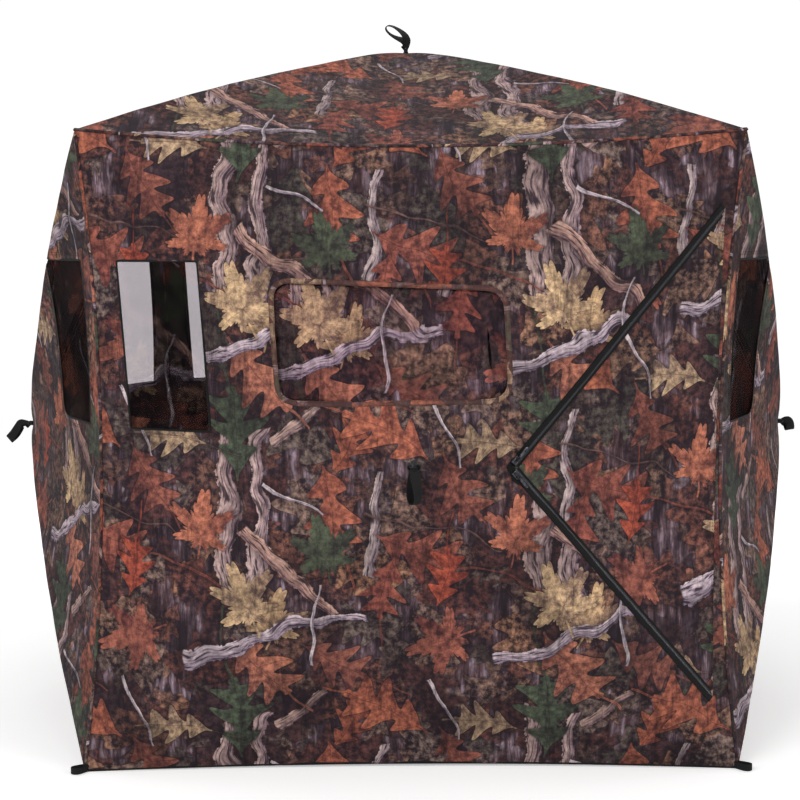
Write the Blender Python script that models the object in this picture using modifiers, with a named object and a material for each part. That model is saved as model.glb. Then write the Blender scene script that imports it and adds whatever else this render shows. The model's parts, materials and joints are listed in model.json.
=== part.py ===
"""Pop up ground blind: a square fabric hide held open by five spring hubs.

Run with blender --background --python part.py, or from Blender's text editor.
Metres, +Z up. The origin is on the ground under the roof hub; the door wall faces -Y.
Each wall and the roof is a shallow fabric pyramid, stretched by a hub and four poles.
"""

import math

import bmesh
import bpy
from mathutils import Matrix, Vector

# Overall size
WIDTH = 1.473
CORNER_HEIGHT = 1.433
BULGE = 0.233
HALF = WIDTH / 2
MID = CORNER_HEIGHT / 2

# Shape of a stretched panel
TIP = 0.05  # how round the pyramid's tip is over a hub, as a share of the half width
POLE_BOW = 0.018
SAG = 0.022
EDGE_PULL_SIDE = 0.042
EDGE_PULL_TOP = 0.035
EDGE_PULL_GROUND = 0.03
FABRIC = 0.003
CELLS = 12
CUT_IN = 0.1
CUT_OUT = 0.3
PANEL_EDGE = 0.985
PANEL_FOOT = 0.970

# Frame
POLE_RADIUS = 0.0045
POLE_DEPTH = 0.022
POLE_SHORT = 0.072  # clearance from a pole's tip to the corner, so the poles can pass flat
PIN_REACH = 0.027
PIN_RADIUS = 0.0016
TONGUE = (0.026, 0.0050, 0.0080)
TONGUE_SHARE = 0.6  # how much of the tongue is clear of the rod
TONGUE_DROOP = 0.8  # the tongue's slope as a share of the panel's
BORE_PLAY = 0.0004
BORE_DEPTH = 0.02
HUB_RADIUS = 0.036
HUB_HEIGHT = 0.014
HUB_SLOT = 0.0062
SLOT_START = 0.014
PIN_BITE = 0.002
STEM_RADIUS = 0.008
STEM_TOP = 0.006
STEM_GAP = 0.0015
PATCH_RADIUS = 0.110
PATCH_GAP = 0.002
PATCH_CREST = 0.045
PATCH_SIDES = 20

# Pull tabs
TAB_LENGTH = 0.078
TAB_WIDTH = 0.025
TAB_GAUGE = 0.003
TAB_FOLD = 0.004
TAB_LIFT = {"front": 8, "rear": 8, "left": 45, "right": 45, "roof": 50}

# Seams, hem and stake loops
SEAM_RADIUS = 0.006
ROOF_SEAM_RADIUS = 0.005
POCKET_GROWTH = 1.5
HEM_HEIGHT = 0.018
HEM_WIDTH = 0.006
SEAM_FOOT = 0.021
SEAM_HEAD = 0.018
LOOP_LENGTH = 0.040
LOOP_WIDTH = 0.026
LOOP_HOLE = 0.006
LOOP_GAUGE = 0.003
LOOP_RISE = 0.001
LOOP_BORE_DEPTH = 0.02

# Side mesh windows: distances of the near and far edges from the wall's middle
MESH_TOP = 1.147
MESH_BOTTOM = 0.776
MESH_OUTER = (0.649, 0.624)  # at the top and at the bottom
MESH_INNER = {"front": (0.463, 0.440), "side": (0.430, 0.412)}
MESH_GAUGE = 0.0015
MESH_GAP = 0.001

# Front window: corners as (across, height above ground)
WINDOW = ((-0.306, 1.107), (-0.289, 0.844), (0.206, 0.852), (0.201, 1.086))
WINDOW_ROUND = 0.035
BINDING = 0.014
BINDING_GAUGE = 0.004
WINDOW_GAP = 0.002
COVER_DEPTH = 0.0055
COVER_SPILL = 0.012

# Door: the zip runs from its upper end to the vertex and on to its lower end
ZIP_UPPER = (0.698, 1.270)
ZIP_VERTEX = (0.214, 0.707)
ZIP_LOWER = (0.682, 0.159)
ZIP_WIDTH = 0.014
DOOR_GAP = 0.0012
HINGE_STRIP = 0.010
HINGE_GAP = 0.003
DOOR_GAUGE = 0.0025
ZIP_GAUGE = 0.003
SLIDER = (0.022, 0.010, 0.006)
SLIDER_PULL = (0.034, 0.006, 0.0016)
SLIDER_START = 0.022
RUNNING_GAP = 0.0003

COLOURS = {
    "camo_fabric": ((0.20, 0.11, 0.08), 0.85, 0.0),
    "window_mesh": ((0.06, 0.05, 0.05), 0.9, 0.0),
    "binding": ((0.16, 0.07, 0.04), 0.85, 0.0),
    "black_webbing": ((0.02, 0.02, 0.02), 0.8, 0.0),
    "fibreglass": ((0.03, 0.03, 0.03), 0.4, 0.0),
    "black_plastic": ((0.025, 0.025, 0.025), 0.5, 0.0),
    "zip_metal": ((0.03, 0.03, 0.035), 0.35, 0.8),
}


def clear_scene():
    for obj in list(bpy.data.objects):
        bpy.data.objects.remove(obj, do_unlink=True)


def make_collection(name, hidden=False):
    collection = bpy.data.collections.new(name)
    bpy.context.scene.collection.children.link(collection)
    collection.hide_render = hidden
    return collection


def make_material(name, colour, roughness, metallic):
    material = bpy.data.materials.new(name)
    material.use_nodes = True
    shader = material.node_tree.nodes["Principled BSDF"]
    shader.inputs["Base Color"].default_value = (*colour, 1.0)
    shader.inputs["Roughness"].default_value = roughness
    shader.inputs["Metallic"].default_value = metallic
    return material


def basis(across, up, origin):
    """A frame whose X runs across a panel, Y up it and Z out of it."""
    x = Vector(across).normalized()
    y = Vector(up).normalized()
    z = x.cross(y)
    matrix = Matrix((x, y, z)).transposed().to_4x4()
    matrix.translation = origin
    return matrix


PANELS = {
    "front": basis((1, 0, 0), (0, 0, 1), (0, -HALF, MID)),
    "right": basis((0, 1, 0), (0, 0, 1), (HALF, 0, MID)),
    "rear": basis((-1, 0, 0), (0, 0, 1), (0, HALF, MID)),
    "left": basis((0, -1, 0), (0, 0, 1), (-HALF, 0, MID)),
    "roof": basis((1, 0, 0), (0, 1, 0), (0, 0, CORNER_HEIGHT)),
}
CORNERS = {"top_left": (-1, 1), "top_right": (1, 1), "bottom_left": (-1, -1), "bottom_right": (1, -1)}
ROOF_CORNERS = {"rear_left": (-1, 1), "rear_right": (1, 1), "front_left": (-1, -1), "front_right": (1, -1)}


def half_height(panel):
    return HALF if panel == "roof" else MID


def panel_point(panel, a, b, depth=0.0):
    """The stretched fabric at (a, b), each from -1 to 1, in the panel's own frame."""
    s = max(abs(a), abs(b))
    m = min(abs(a), abs(b)) / max(s, 1e-9)
    slack = 1 - m * m
    cone = 1 - (math.hypot(s, TIP) - TIP) / (math.hypot(1, TIP) - TIP)
    out = BULGE * cone + 4 * s * (1 - s) * (POLE_BOW - slack * SAG)
    side = EDGE_PULL_TOP if panel == "roof" else EDGE_PULL_SIDE
    x = a * HALF
    y = b * half_height(panel)
    if abs(a) >= abs(b):
        pull = side * slack * s * s
        x -= math.copysign(pull, a)
    elif b < 0 and panel != "roof":
        pull = EDGE_PULL_GROUND * slack * s * s
    else:
        pull = EDGE_PULL_TOP * slack * s * s
        y -= math.copysign(pull, b)
    return Vector((x, y, out - pull - depth))


def at_position(panel, x, y, depth=0.0):
    """The fabric at a distance x across and y up from the panel's middle."""
    rise = half_height(panel)
    a = x / HALF
    b = y / rise
    for _ in range(12):
        found = panel_point(panel, a, b, depth)
        a += (x - found.x) / HALF
        b += (y - found.y) / rise
    return panel_point(panel, a, b, depth)


def wall_outline(points):
    """Points given as (across, height above ground), in a wall's own frame."""
    return [(x, z - MID) for x, z in points]


def finish(name, mesh, collection, material=None, matrix=None):
    obj = bpy.data.objects.new(name, mesh)
    collection.objects.link(obj)
    if material:
        mesh.materials.clear()
        mesh.materials.append(material)
    if matrix:
        obj.matrix_world = matrix
    return obj


def mesh_from(bm, name):
    bmesh.ops.recalc_face_normals(bm, faces=bm.faces)
    mesh = bpy.data.meshes.new(name)
    bm.to_mesh(mesh)
    bm.free()
    return mesh


def add_box(bm, size, centre):
    matrix = Matrix.Translation(centre) @ Matrix.Diagonal((*size, 1))
    bmesh.ops.create_cube(bm, size=1.0, matrix=matrix)


def add_cylinder(bm, radius, depth, segments, matrix):
    bmesh.ops.create_cone(
        bm,
        cap_ends=True,
        segments=segments,
        radius1=radius,
        radius2=radius,
        depth=depth,
        matrix=matrix,
    )


def prism_mesh(name, outline, low, high):
    bm = bmesh.new()
    face = bm.faces.new([bm.verts.new((x, y, low)) for x, y in outline])
    raised = bmesh.ops.extrude_face_region(bm, geom=[face])
    corners = [v for v in raised["geom"] if isinstance(v, bmesh.types.BMVert)]
    bmesh.ops.translate(bm, verts=corners, vec=(0, 0, high - low))
    return mesh_from(bm, name)


def add_boolean(obj, cutter, operation):
    modifier = obj.modifiers.new(cutter.name, "BOOLEAN")
    modifier.operation = operation
    modifier.solver = "EXACT"
    modifier.object = cutter


def add_cutter(name, mesh, cutters, matrix=None):
    cutter = finish(name, mesh, cutters, matrix=matrix)
    cutter.hide_render = True
    cutter.display_type = "WIRE"
    return cutter


def bake(obj, name):
    """The object's evaluated shape as a new welded mesh."""
    graph = bpy.context.evaluated_depsgraph_get()
    mesh = bpy.data.meshes.new_from_object(obj.evaluated_get(graph))
    mesh.name = name
    bm = bmesh.new()
    bm.from_mesh(mesh)
    bmesh.ops.remove_doubles(bm, verts=bm.verts, dist=1e-6)
    bm.to_mesh(mesh)
    bm.free()
    return mesh


def offset_outline(points, distance):
    """A closed counter-clockwise outline moved inward by distance, with mitred corners."""
    moved = []
    for i, here in enumerate(points):
        before = Vector(points[i - 1])
        after = Vector(points[(i + 1) % len(points)])
        here = Vector(here)
        d1 = (here - before).normalized()
        d2 = (after - here).normalized()
        n1 = Vector((-d1.y, d1.x))
        n2 = Vector((-d2.y, d2.x))
        moved.append(tuple(here + (n1 + n2) * distance / (1 + n1.dot(n2))))
    return moved


def rounded_outline(points, radius, steps=4):
    """A closed outline whose corners are arcs."""
    rounded = []
    for i, here in enumerate(points):
        here = Vector(here)
        before = (Vector(points[i - 1]) - here).normalized()
        after = (Vector(points[(i + 1) % len(points)]) - here).normalized()
        reach = radius / math.tan(before.angle(after) / 2)
        start = here + before * reach
        end = here + after * reach
        for k in range(steps + 1):
            t = k / steps
            rounded.append(tuple((1 - t) ** 2 * start + 2 * t * (1 - t) * here + t * t * end))
    return rounded


def lattice_mesh(name, panel, a_range, b_range, cells, depth=0.0):
    """Part of a panel as a grid whose diagonals follow the ridges over the poles."""
    bm = bmesh.new()
    bmesh.ops.create_grid(bm, x_segments=cells[0], y_segments=cells[1], size=1.0)
    place = {}
    for v in bm.verts:
        a = a_range[0] + (a_range[1] - a_range[0]) * (v.co.x + 1) / 2
        b = b_range[0] + (b_range[1] - b_range[0]) * (v.co.y + 1) / 2
        foot = -PANEL_EDGE if panel == "roof" else -PANEL_FOOT
        place[v] = (min(max(a, -PANEL_EDGE), PANEL_EDGE), min(max(b, foot), PANEL_EDGE))
    for face in list(bm.faces):
        centre = [sum(place[v][k] for v in face.verts) / 4 for k in (0, 1)]
        rising = centre[0] * centre[1] > 0
        ordered = sorted(face.verts, key=lambda v: place[v][0] + place[v][1] * (1 if rising else -1))
        bmesh.utils.face_split(face, ordered[0], ordered[-1])
    for v, (a, b) in place.items():
        v.co = panel_point(panel, a, b, depth)
    return mesh_from(bm, name)


def outward(mesh):
    """Turns an open sheet so that its faces look along +Z of the panel."""
    bm = bmesh.new()
    bm.from_mesh(mesh)
    bm.normal_update()
    if sum(f.normal.z * f.calc_area() for f in bm.faces) < 0:
        bmesh.ops.reverse_faces(bm, faces=bm.faces)
    bm.to_mesh(mesh)
    bm.free()
    return mesh


def add_thickness(obj, gauge):
    modifier = obj.modifiers.new("thickness", "SOLIDIFY")
    modifier.thickness = gauge
    modifier.offset = -1.0


def make_sheet(name, mesh, panel, gauge, parts, material):
    obj = finish(name, outward(mesh), parts, material, PANELS[panel])
    add_thickness(obj, gauge)
    return obj


def mesh_window_corners(panel, side):
    inner = MESH_INNER["front" if panel in ("front", "rear") else "side"]
    bottom = [(side * x, MESH_BOTTOM) for x in (MESH_OUTER[1], inner[1])]
    top = [(side * x, MESH_TOP) for x in (inner[0], MESH_OUTER[0])]
    corners = wall_outline(bottom + top)
    return corners if side < 0 else corners[::-1]


def make_mesh_window(name, panel, side, parts, material):
    lower_a, lower_b, upper_b, upper_a = [Vector(p) for p in mesh_window_corners(panel, side)]
    bm = bmesh.new()
    bmesh.ops.create_grid(bm, x_segments=2, y_segments=5, size=1.0)
    for v in bm.verts:
        t = (v.co.x + 1) / 2
        u = (v.co.y + 1) / 2
        low = lower_a.lerp(lower_b, t)
        high = upper_a.lerp(upper_b, t)
        flat = low.lerp(high, u)
        v.co = at_position(panel, flat.x, flat.y)
    return make_sheet(name, mesh_from(bm, name), panel, MESH_GAUGE, parts, material)


def cut_mesh_window(wall, panel, side, cutters):
    corners = mesh_window_corners(panel, side)
    turn = sum(x1 * y2 - x2 * y1 for (x1, y1), (x2, y2) in zip(corners, corners[1:] + corners[:1]))
    outline = offset_outline(corners, -math.copysign(MESH_GAP, turn))
    name = f"cut_{panel}_mesh_{'left' if side < 0 else 'right'}"
    cutter = add_cutter(name, prism_mesh(name, outline, -CUT_IN, CUT_OUT), cutters, PANELS[panel])
    add_boolean(wall, cutter, "DIFFERENCE")


def make_panel(panel, parts, cutters, material):
    name = "roof_panel" if panel == "roof" else f"{panel}_wall"
    mesh = lattice_mesh(name, panel, (-1, 1), (-1, 1), (CELLS, CELLS))
    wall = make_sheet(name, mesh, panel, FABRIC, parts, material)
    bm = bmesh.new()
    add_cylinder(bm, PATCH_RADIUS + PATCH_GAP, 2 * CUT_IN, PATCH_SIDES, Matrix.Translation((0, 0, BULGE)))
    hole = add_cutter(f"cut_{panel}_hub", mesh_from(bm, name), cutters, PANELS[panel])
    add_boolean(wall, hole, "DIFFERENCE")
    return wall


def make_hub_patch(panel, parts, material):
    """A round of fabric clamped by the hub; it turns inside out when the hub pops in."""
    radii = (STEM_RADIUS + STEM_GAP, PATCH_CREST, PATCH_RADIUS)
    bm = bmesh.new()
    rings = []
    for radius in radii:
        angles = [2 * math.pi * k / PATCH_SIDES for k in range(PATCH_SIDES)]
        ring = [at_position(panel, radius * math.cos(t), radius * math.sin(t)) for t in angles]
        rings.append([bm.verts.new(p) for p in ring])
    for inner, outer in zip(rings, rings[1:]):
        for k in range(PATCH_SIDES):
            n = (k + 1) % PATCH_SIDES
            bm.faces.new((inner[k], outer[k], outer[n], inner[n]))
    name = f"{panel}_hub_patch"
    return make_sheet(name, mesh_from(bm, name), panel, FABRIC, parts, material)


def hub_mesh(name, angles, cutters):
    """A slotted disc with a pin across each slot and a stem up through the fabric."""
    bm = bmesh.new()
    add_cylinder(bm, HUB_RADIUS, HUB_HEIGHT, 32, Matrix.Identity(4))
    disc = add_cutter(f"{name}_disc", mesh_from(bm, name), cutters)
    bm = bmesh.new()
    top = POLE_DEPTH + STEM_TOP
    add_cylinder(bm, STEM_RADIUS, top, 16, Matrix.Translation((0, 0, top / 2)))
    stem = add_cutter(f"{name}_stem", mesh_from(bm, name), cutters)
    for k, angle in enumerate(angles):
        turn = Matrix.Rotation(angle, 4, "Z")
        bm = bmesh.new()
        add_box(bm, (HUB_RADIUS, HUB_SLOT, HUB_HEIGHT * 2), (SLOT_START + HUB_RADIUS / 2, 0, 0))
        slot = add_cutter(f"{name}_slot_{k}", mesh_from(bm, name), cutters, turn)
        add_boolean(disc, slot, "DIFFERENCE")
    for k, angle in enumerate(angles):
        turn = Matrix.Rotation(angle, 4, "Z") @ Matrix.Translation((PIN_REACH, 0, 0))
        bm = bmesh.new()
        add_cylinder(bm, PIN_RADIUS, HUB_SLOT + 2 * PIN_BITE, 8, turn @ Matrix.Rotation(math.pi / 2, 4, "X"))
        pin = add_cutter(f"{name}_pin_{k}", mesh_from(bm, name), cutters)
        add_boolean(disc, pin, "UNION")
    add_boolean(disc, stem, "UNION")
    return bake(disc, name)


def pole_mesh(name, length, cutters):
    """A pole along +X from its hub pin, with a drilled tongue; +Z is out of the panel."""
    reach = length - POLE_SHORT
    curve = bpy.data.curves.new(name, "CURVE")
    curve.dimensions = "3D"
    curve.bevel_depth = POLE_RADIUS
    curve.bevel_resolution = 2
    curve.use_fill_caps = True
    stops = 6
    spline = curve.splines.new("POLY")
    spline.points.add(stops)
    first = PIN_REACH + TONGUE[0] * TONGUE_SHARE
    for k in range(stops + 1):
        along = first + (reach - first) * k / stops
        share = along / length
        rise = panel_point("roof", share, share).z - BULGE
        spline.points[k].co = (along - PIN_REACH, 0, rise, 1)
    rod = finish(name, curve, cutters)
    body = add_cutter(f"{name}_rod", bake(rod, name), cutters)
    bpy.data.objects.remove(rod)
    bm = bmesh.new()
    start = -PIN_RADIUS * 2
    middle = start + TONGUE[0] / 2
    add_box(bm, TONGUE, (middle, 0, 0))
    for v in bm.verts:
        v.co.z -= max(0.0, v.co.x) * BULGE / length * TONGUE_DROOP
    tongue = add_cutter(f"{name}_tongue", mesh_from(bm, name), cutters)
    bm = bmesh.new()
    add_cylinder(bm, PIN_RADIUS + BORE_PLAY, BORE_DEPTH, 12, Matrix.Rotation(math.pi / 2, 4, "X"))
    bore = add_cutter(f"{name}_bore", mesh_from(bm, name), cutters)
    add_boolean(body, tongue, "UNION")
    add_boolean(body, bore, "DIFFERENCE")
    return bake(body, name)


def make_frame(parts, cutters, materials):
    """The five hubs and twenty poles; every pole's origin is its hub pin."""
    for kind, panels, corners in (
        ("wall", ("front", "right", "rear", "left"), CORNERS),
        ("roof", ("roof",), ROOF_CORNERS),
    ):
        rise = half_height(panels[0])
        angles = [math.atan2(b * rise, a * HALF) for a, b in corners.values()]
        hub = hub_mesh(f"{kind}_hub_shape", angles, cutters)
        pole = pole_mesh(f"{kind}_pole_shape", math.hypot(HALF, rise), cutters)
        for panel in panels:
            centre = PANELS[panel] @ Matrix.Translation((0, 0, BULGE - POLE_DEPTH))
            finish(f"{panel}_hub", hub.copy(), parts, materials["black_plastic"], centre)
            for (corner, _), angle in zip(corners.items(), angles):
                turn = Matrix.Rotation(angle, 4, "Z") @ Matrix.Translation((PIN_REACH, 0, 0))
                finish(f"{panel}_pole_{corner}", pole.copy(), parts, materials["fibreglass"], centre @ turn)


def flat_curve(name, outlines, gauge):
    """A flat plate of the given closed outlines; later outlines inside the first are holes."""
    curve = bpy.data.curves.new(name, "CURVE")
    curve.dimensions = "2D"
    curve.fill_mode = "BOTH"
    curve.extrude = gauge / 2
    for outline in outlines:
        spline = curve.splines.new("POLY")
        spline.points.add(len(outline) - 1)
        for point, (x, y) in zip(spline.points, outline):
            point.co = (x, y, 0, 1)
        spline.use_cyclic_u = True
    return curve


def baked_curve(name, curve, parts, material, matrix):
    """A curve object turned into a welded mesh object in the same place."""
    draft = finish(name + "_curve", curve, parts)
    obj = finish(name, bake(draft, name), parts, material, matrix)
    bpy.data.objects.remove(draft)
    return obj


def stadium(radius, length, steps=6):
    """A slot shape around the segment from the origin to (0, -length)."""
    arc = [math.pi * k / steps for k in range(steps + 1)]
    top = [(radius * math.cos(t), radius * math.sin(t)) for t in arc]
    bottom = [(-radius * math.cos(t), -length - radius * math.sin(t)) for t in arc]
    return top + bottom


def make_pull_tab(panel, parts, material):
    """A loop of webbing hanging from the hub's stem; its origin is on its fold line."""
    span = TAB_LENGTH - 2 * TAB_FOLD
    curve = flat_curve(panel, [stadium(TAB_FOLD, span), stadium(TAB_FOLD - TAB_GAUGE, span)], TAB_WIDTH)
    place = PANELS[panel] @ Matrix.Translation((0, 0, BULGE + STEM_TOP + RUNNING_GAP + TAB_FOLD))
    if panel == "roof":
        place = place @ Matrix.Rotation(-math.pi / 2, 4, "Z")
    lift = Matrix.Rotation(-math.radians(TAB_LIFT[panel]), 4, "X")
    upright = basis((0, 0, 1), (0, 1, 0), (0, 0, 0))
    baked_curve(f"{panel}_pull_tab", curve, parts, material, place @ lift @ upright)


def tube(name, points, radius, growth, cyclic, parts, material):
    curve = bpy.data.curves.new(name, "CURVE")
    curve.dimensions = "3D"
    curve.bevel_depth = radius
    curve.bevel_resolution = 1
    curve.use_fill_caps = True
    spline = curve.splines.new("POLY")
    spline.points.add(len(points) - 1)
    for point, place, scale in zip(spline.points, points, growth):
        point.co = (*place, 1)
        point.radius = scale
    spline.use_cyclic_u = cyclic
    return baked_curve(name, curve, parts, material, Matrix.Identity(4))


def make_corner_seams(parts, material):
    """Piping down each corner, thickened at both ends into the pockets for the pole tips."""
    stops = 9
    for end, y_side in (("front", -1), ("rear", 1)):
        for side, x_side in (("left", -1), ("right", 1)):
            points = []
            for k in range(stops):
                z = SEAM_FOOT + (CORNER_HEIGHT - SEAM_HEAD - SEAM_FOOT) * k / (stops - 1)
                b = z / MID - 1
                reach = HALF - EDGE_PULL_SIDE * (1 - b * b)
                points.append((x_side * reach, y_side * reach, z))
            growth = [POCKET_GROWTH] + [1.0] * (stops - 2) + [POCKET_GROWTH]
            tube(f"corner_seam_{end}_{side}", points, SEAM_RADIUS, growth, False, parts, material)


def make_roof_seam(parts, material):
    stops = 6
    points = []
    for turn in range(4):
        spin = Matrix.Rotation(turn * math.pi / 2, 4, "Z")
        for k in range(stops):
            edge = panel_point("roof", -1 + 2 * k / stops, -1)
            points.append(PANELS["roof"] @ (spin @ edge))
    tube("roof_seam", points, ROOF_SEAM_RADIUS, [1.0] * len(points), True, parts, material)


def make_ground_hem(parts, cutters, material):
    """The bound lower edge, with a stake loop at each corner."""
    stops = 6
    outer = []
    for turn in range(4):
        spin = Matrix.Rotation(turn * math.pi / 2, 2)
        for k in range(stops):
            a = -1 + 2 * k / stops
            outer.append(tuple(spin @ Vector((a * HALF, -HALF + EDGE_PULL_GROUND * (1 - a * a)))))
    curve = flat_curve("ground_hem", [outer, offset_outline(outer, HEM_WIDTH)], HEM_HEIGHT)
    hem = baked_curve("ground_hem", curve, parts, material, Matrix.Translation((0, 0, HEM_HEIGHT / 2)))
    corner = math.hypot(HALF, HALF)
    for turn in range(4):
        spin = Matrix.Rotation(math.pi / 4 + turn * math.pi / 2, 4, "Z")
        low = LOOP_GAUGE / 2 + LOOP_RISE
        bm = bmesh.new()
        add_box(bm, (LOOP_LENGTH, LOOP_WIDTH, LOOP_GAUGE), (corner + LOOP_LENGTH / 2 - HEM_WIDTH, 0, low))
        plate = add_cutter(f"stake_loop_{turn}", mesh_from(bm, "stake_loop"), cutters, spin)
        bm = bmesh.new()
        centre = (corner + LOOP_LENGTH - HEM_WIDTH - LOOP_WIDTH / 2, 0, low)
        add_cylinder(bm, LOOP_HOLE, LOOP_BORE_DEPTH, 12, Matrix.Translation(centre))
        hole = add_cutter(f"stake_hole_{turn}", mesh_from(bm, "stake_hole"), cutters, spin)
        add_boolean(hem, plate, "UNION")
        add_boolean(hem, hole, "DIFFERENCE")


def window_prism(name, inset, cutters):
    outline = rounded_outline(offset_outline(wall_outline(WINDOW), inset), WINDOW_ROUND)
    return add_cutter(name, prism_mesh(name, outline, -CUT_IN, CUT_OUT), cutters, PANELS["front"])


def make_front_window(wall, parts, cutters, materials):
    """A bound opening with mesh, and the cover that drops behind it."""
    step = 2 / CELLS
    patch = ((-3 * step, 2 * step), (0, 4 * step), (5, 4))
    inside = window_prism("cut_window_binding_inside", BINDING / 2, cutters)
    outside = window_prism("cut_window_binding_outside", -BINDING / 2, cutters)
    pane = window_prism("cut_window_mesh", BINDING / 2 + RUNNING_GAP, cutters)
    opening = window_prism("cut_window_opening", -BINDING / 2 - WINDOW_GAP, cutters)
    spread = window_prism("cut_window_cover", -COVER_SPILL, cutters)
    shape = lattice_mesh("front_window_binding", "front", *patch)
    binding = make_sheet("front_window_binding", shape, "front", BINDING_GAUGE, parts, materials["binding"])
    add_boolean(binding, outside, "INTERSECT")
    add_boolean(binding, inside, "DIFFERENCE")
    shape = lattice_mesh("front_window_mesh", "front", *patch)
    mesh = make_sheet("front_window_mesh", shape, "front", MESH_GAUGE, parts, materials["window_mesh"])
    add_boolean(mesh, pane, "INTERSECT")
    shape = lattice_mesh("front_window_cover", "front", *patch, COVER_DEPTH)
    cover = make_sheet("front_window_cover", shape, "front", MESH_GAUGE, parts, materials["camo_fabric"])
    add_boolean(cover, spread, "INTERSECT")
    add_boolean(wall, opening, "DIFFERENCE")


class DoorPlane:
    """The flat triangle of the door: X from the zip's vertex to the hinge, Y up the hinge."""

    def __init__(self):
        flat = wall_outline((ZIP_UPPER, ZIP_VERTEX, ZIP_LOWER))
        upper, vertex, lower = (at_position("front", x, y) for x, y in flat)
        rise = (upper - lower).normalized()
        reach = (upper - vertex) - (upper - vertex).dot(rise) * rise
        self.width = reach.length
        self.upper = Vector((self.width, (upper - vertex).dot(rise)))
        self.lower = Vector((self.width, (lower - vertex).dot(rise)))
        self.matrix = PANELS["front"] @ basis(reach, rise, vertex)
        self.hinge_x = self.width - HINGE_STRIP - HINGE_GAP

    def outline(self, inset, right):
        """The triangle with its two zip sides moved inward by inset and its right side at x = right."""
        up = self.upper.normalized()
        down = self.lower.normalized()
        above = Vector((up.y, -up.x))
        below = Vector((-down.y, down.x))
        spread = above.x * below.y - above.y * below.x
        apex = Vector((below.y - above.y, above.x - below.x)) * inset / spread
        low = (inset - right * below.x) / below.y
        high = (inset - right * above.x) / above.y
        return [tuple(apex), (right, low), (right, high)]


def make_door(wall, parts, cutters, materials):
    """The zipped door flap, the zip tape around it and the two sliders."""
    plane = DoorPlane()
    name = "cut_door_opening"
    opening = plane.outline(-ZIP_WIDTH - WINDOW_GAP, plane.width + WINDOW_GAP)
    hole = add_cutter(name, prism_mesh(name, opening, -CUT_IN, CUT_IN), cutters, plane.matrix)
    add_boolean(wall, hole, "DIFFERENCE")
    outlines = [plane.outline(-ZIP_WIDTH, plane.width), plane.outline(0.0, plane.width - HINGE_STRIP)]
    tape = flat_curve("door_zip_tape", outlines, ZIP_GAUGE)
    baked_curve("door_zip_tape", tape, parts, materials["black_webbing"], plane.matrix)
    hinge = Matrix.Translation((plane.hinge_x, 0, 0))
    flap = [(x - plane.hinge_x, y) for x, y in plane.outline(DOOR_GAP, plane.hinge_x)]
    panel = prism_mesh("door_panel", flap, -DOOR_GAUGE / 2, DOOR_GAUGE / 2)
    finish("door_panel", panel, parts, materials["camo_fabric"], plane.matrix @ hinge)
    apex = Vector(plane.outline(-ZIP_WIDTH / 2, plane.width)[0])
    for label, end in (("upper", plane.upper), ("lower", plane.lower)):
        along = end.normalized()
        centre = apex + along * SLIDER_START
        turn = Matrix.Rotation(math.atan2(along.y, along.x), 4, "Z")
        place = plane.matrix @ Matrix.Translation((centre.x, centre.y, ZIP_GAUGE / 2 + RUNNING_GAP)) @ turn
        make_slider(f"{label}_zip_slider", place, parts, cutters, materials["zip_metal"])


def make_slider(name, place, parts, cutters, material):
    bm = bmesh.new()
    add_box(bm, SLIDER, (0, 0, SLIDER[2] / 2))
    slider = finish(name, mesh_from(bm, name), parts, material, place)
    bm = bmesh.new()
    add_box(bm, SLIDER_PULL, (SLIDER_PULL[0] / 2, 0, SLIDER[2]))
    pull = add_cutter(f"{name}_pull", mesh_from(bm, name), cutters, place)
    add_boolean(slider, pull, "UNION")


def main():
    clear_scene()
    parts = make_collection("pop_up_ground_blind")
    cutters = make_collection("cutters", hidden=True)
    materials = {name: make_material(name, *look) for name, look in COLOURS.items()}
    walls = {panel: make_panel(panel, parts, cutters, materials["camo_fabric"]) for panel in PANELS}
    for panel in PANELS:
        make_hub_patch(panel, parts, materials["camo_fabric"])
        make_pull_tab(panel, parts, materials["black_webbing"])
    make_frame(parts, cutters, materials)
    windows = {
        ("front", -1): "front_left",
        ("right", -1): "right_front",
        ("right", 1): "right_rear",
        ("rear", -1): "rear_right",
        ("rear", 1): "rear_left",
        ("left", -1): "left_rear",
        ("left", 1): "left_front",
    }
    for (panel, side), place in windows.items():
        cut_mesh_window(walls[panel], panel, side, cutters)
        make_mesh_window(f"{place}_window_mesh", panel, side, parts, materials["window_mesh"])
    make_front_window(walls["front"], parts, cutters, materials)
    make_door(walls["front"], parts, cutters, materials)
    make_corner_seams(parts, materials["black_webbing"])
    make_roof_seam(parts, materials["black_webbing"])
    make_ground_hem(parts, cutters, materials["black_webbing"])


main()
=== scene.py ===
"""The looks of the pop up ground blind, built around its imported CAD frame."""

import json
import math

import bmesh
import bpy
import numpy as np
from mathutils import Matrix, Vector, noise


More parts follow.
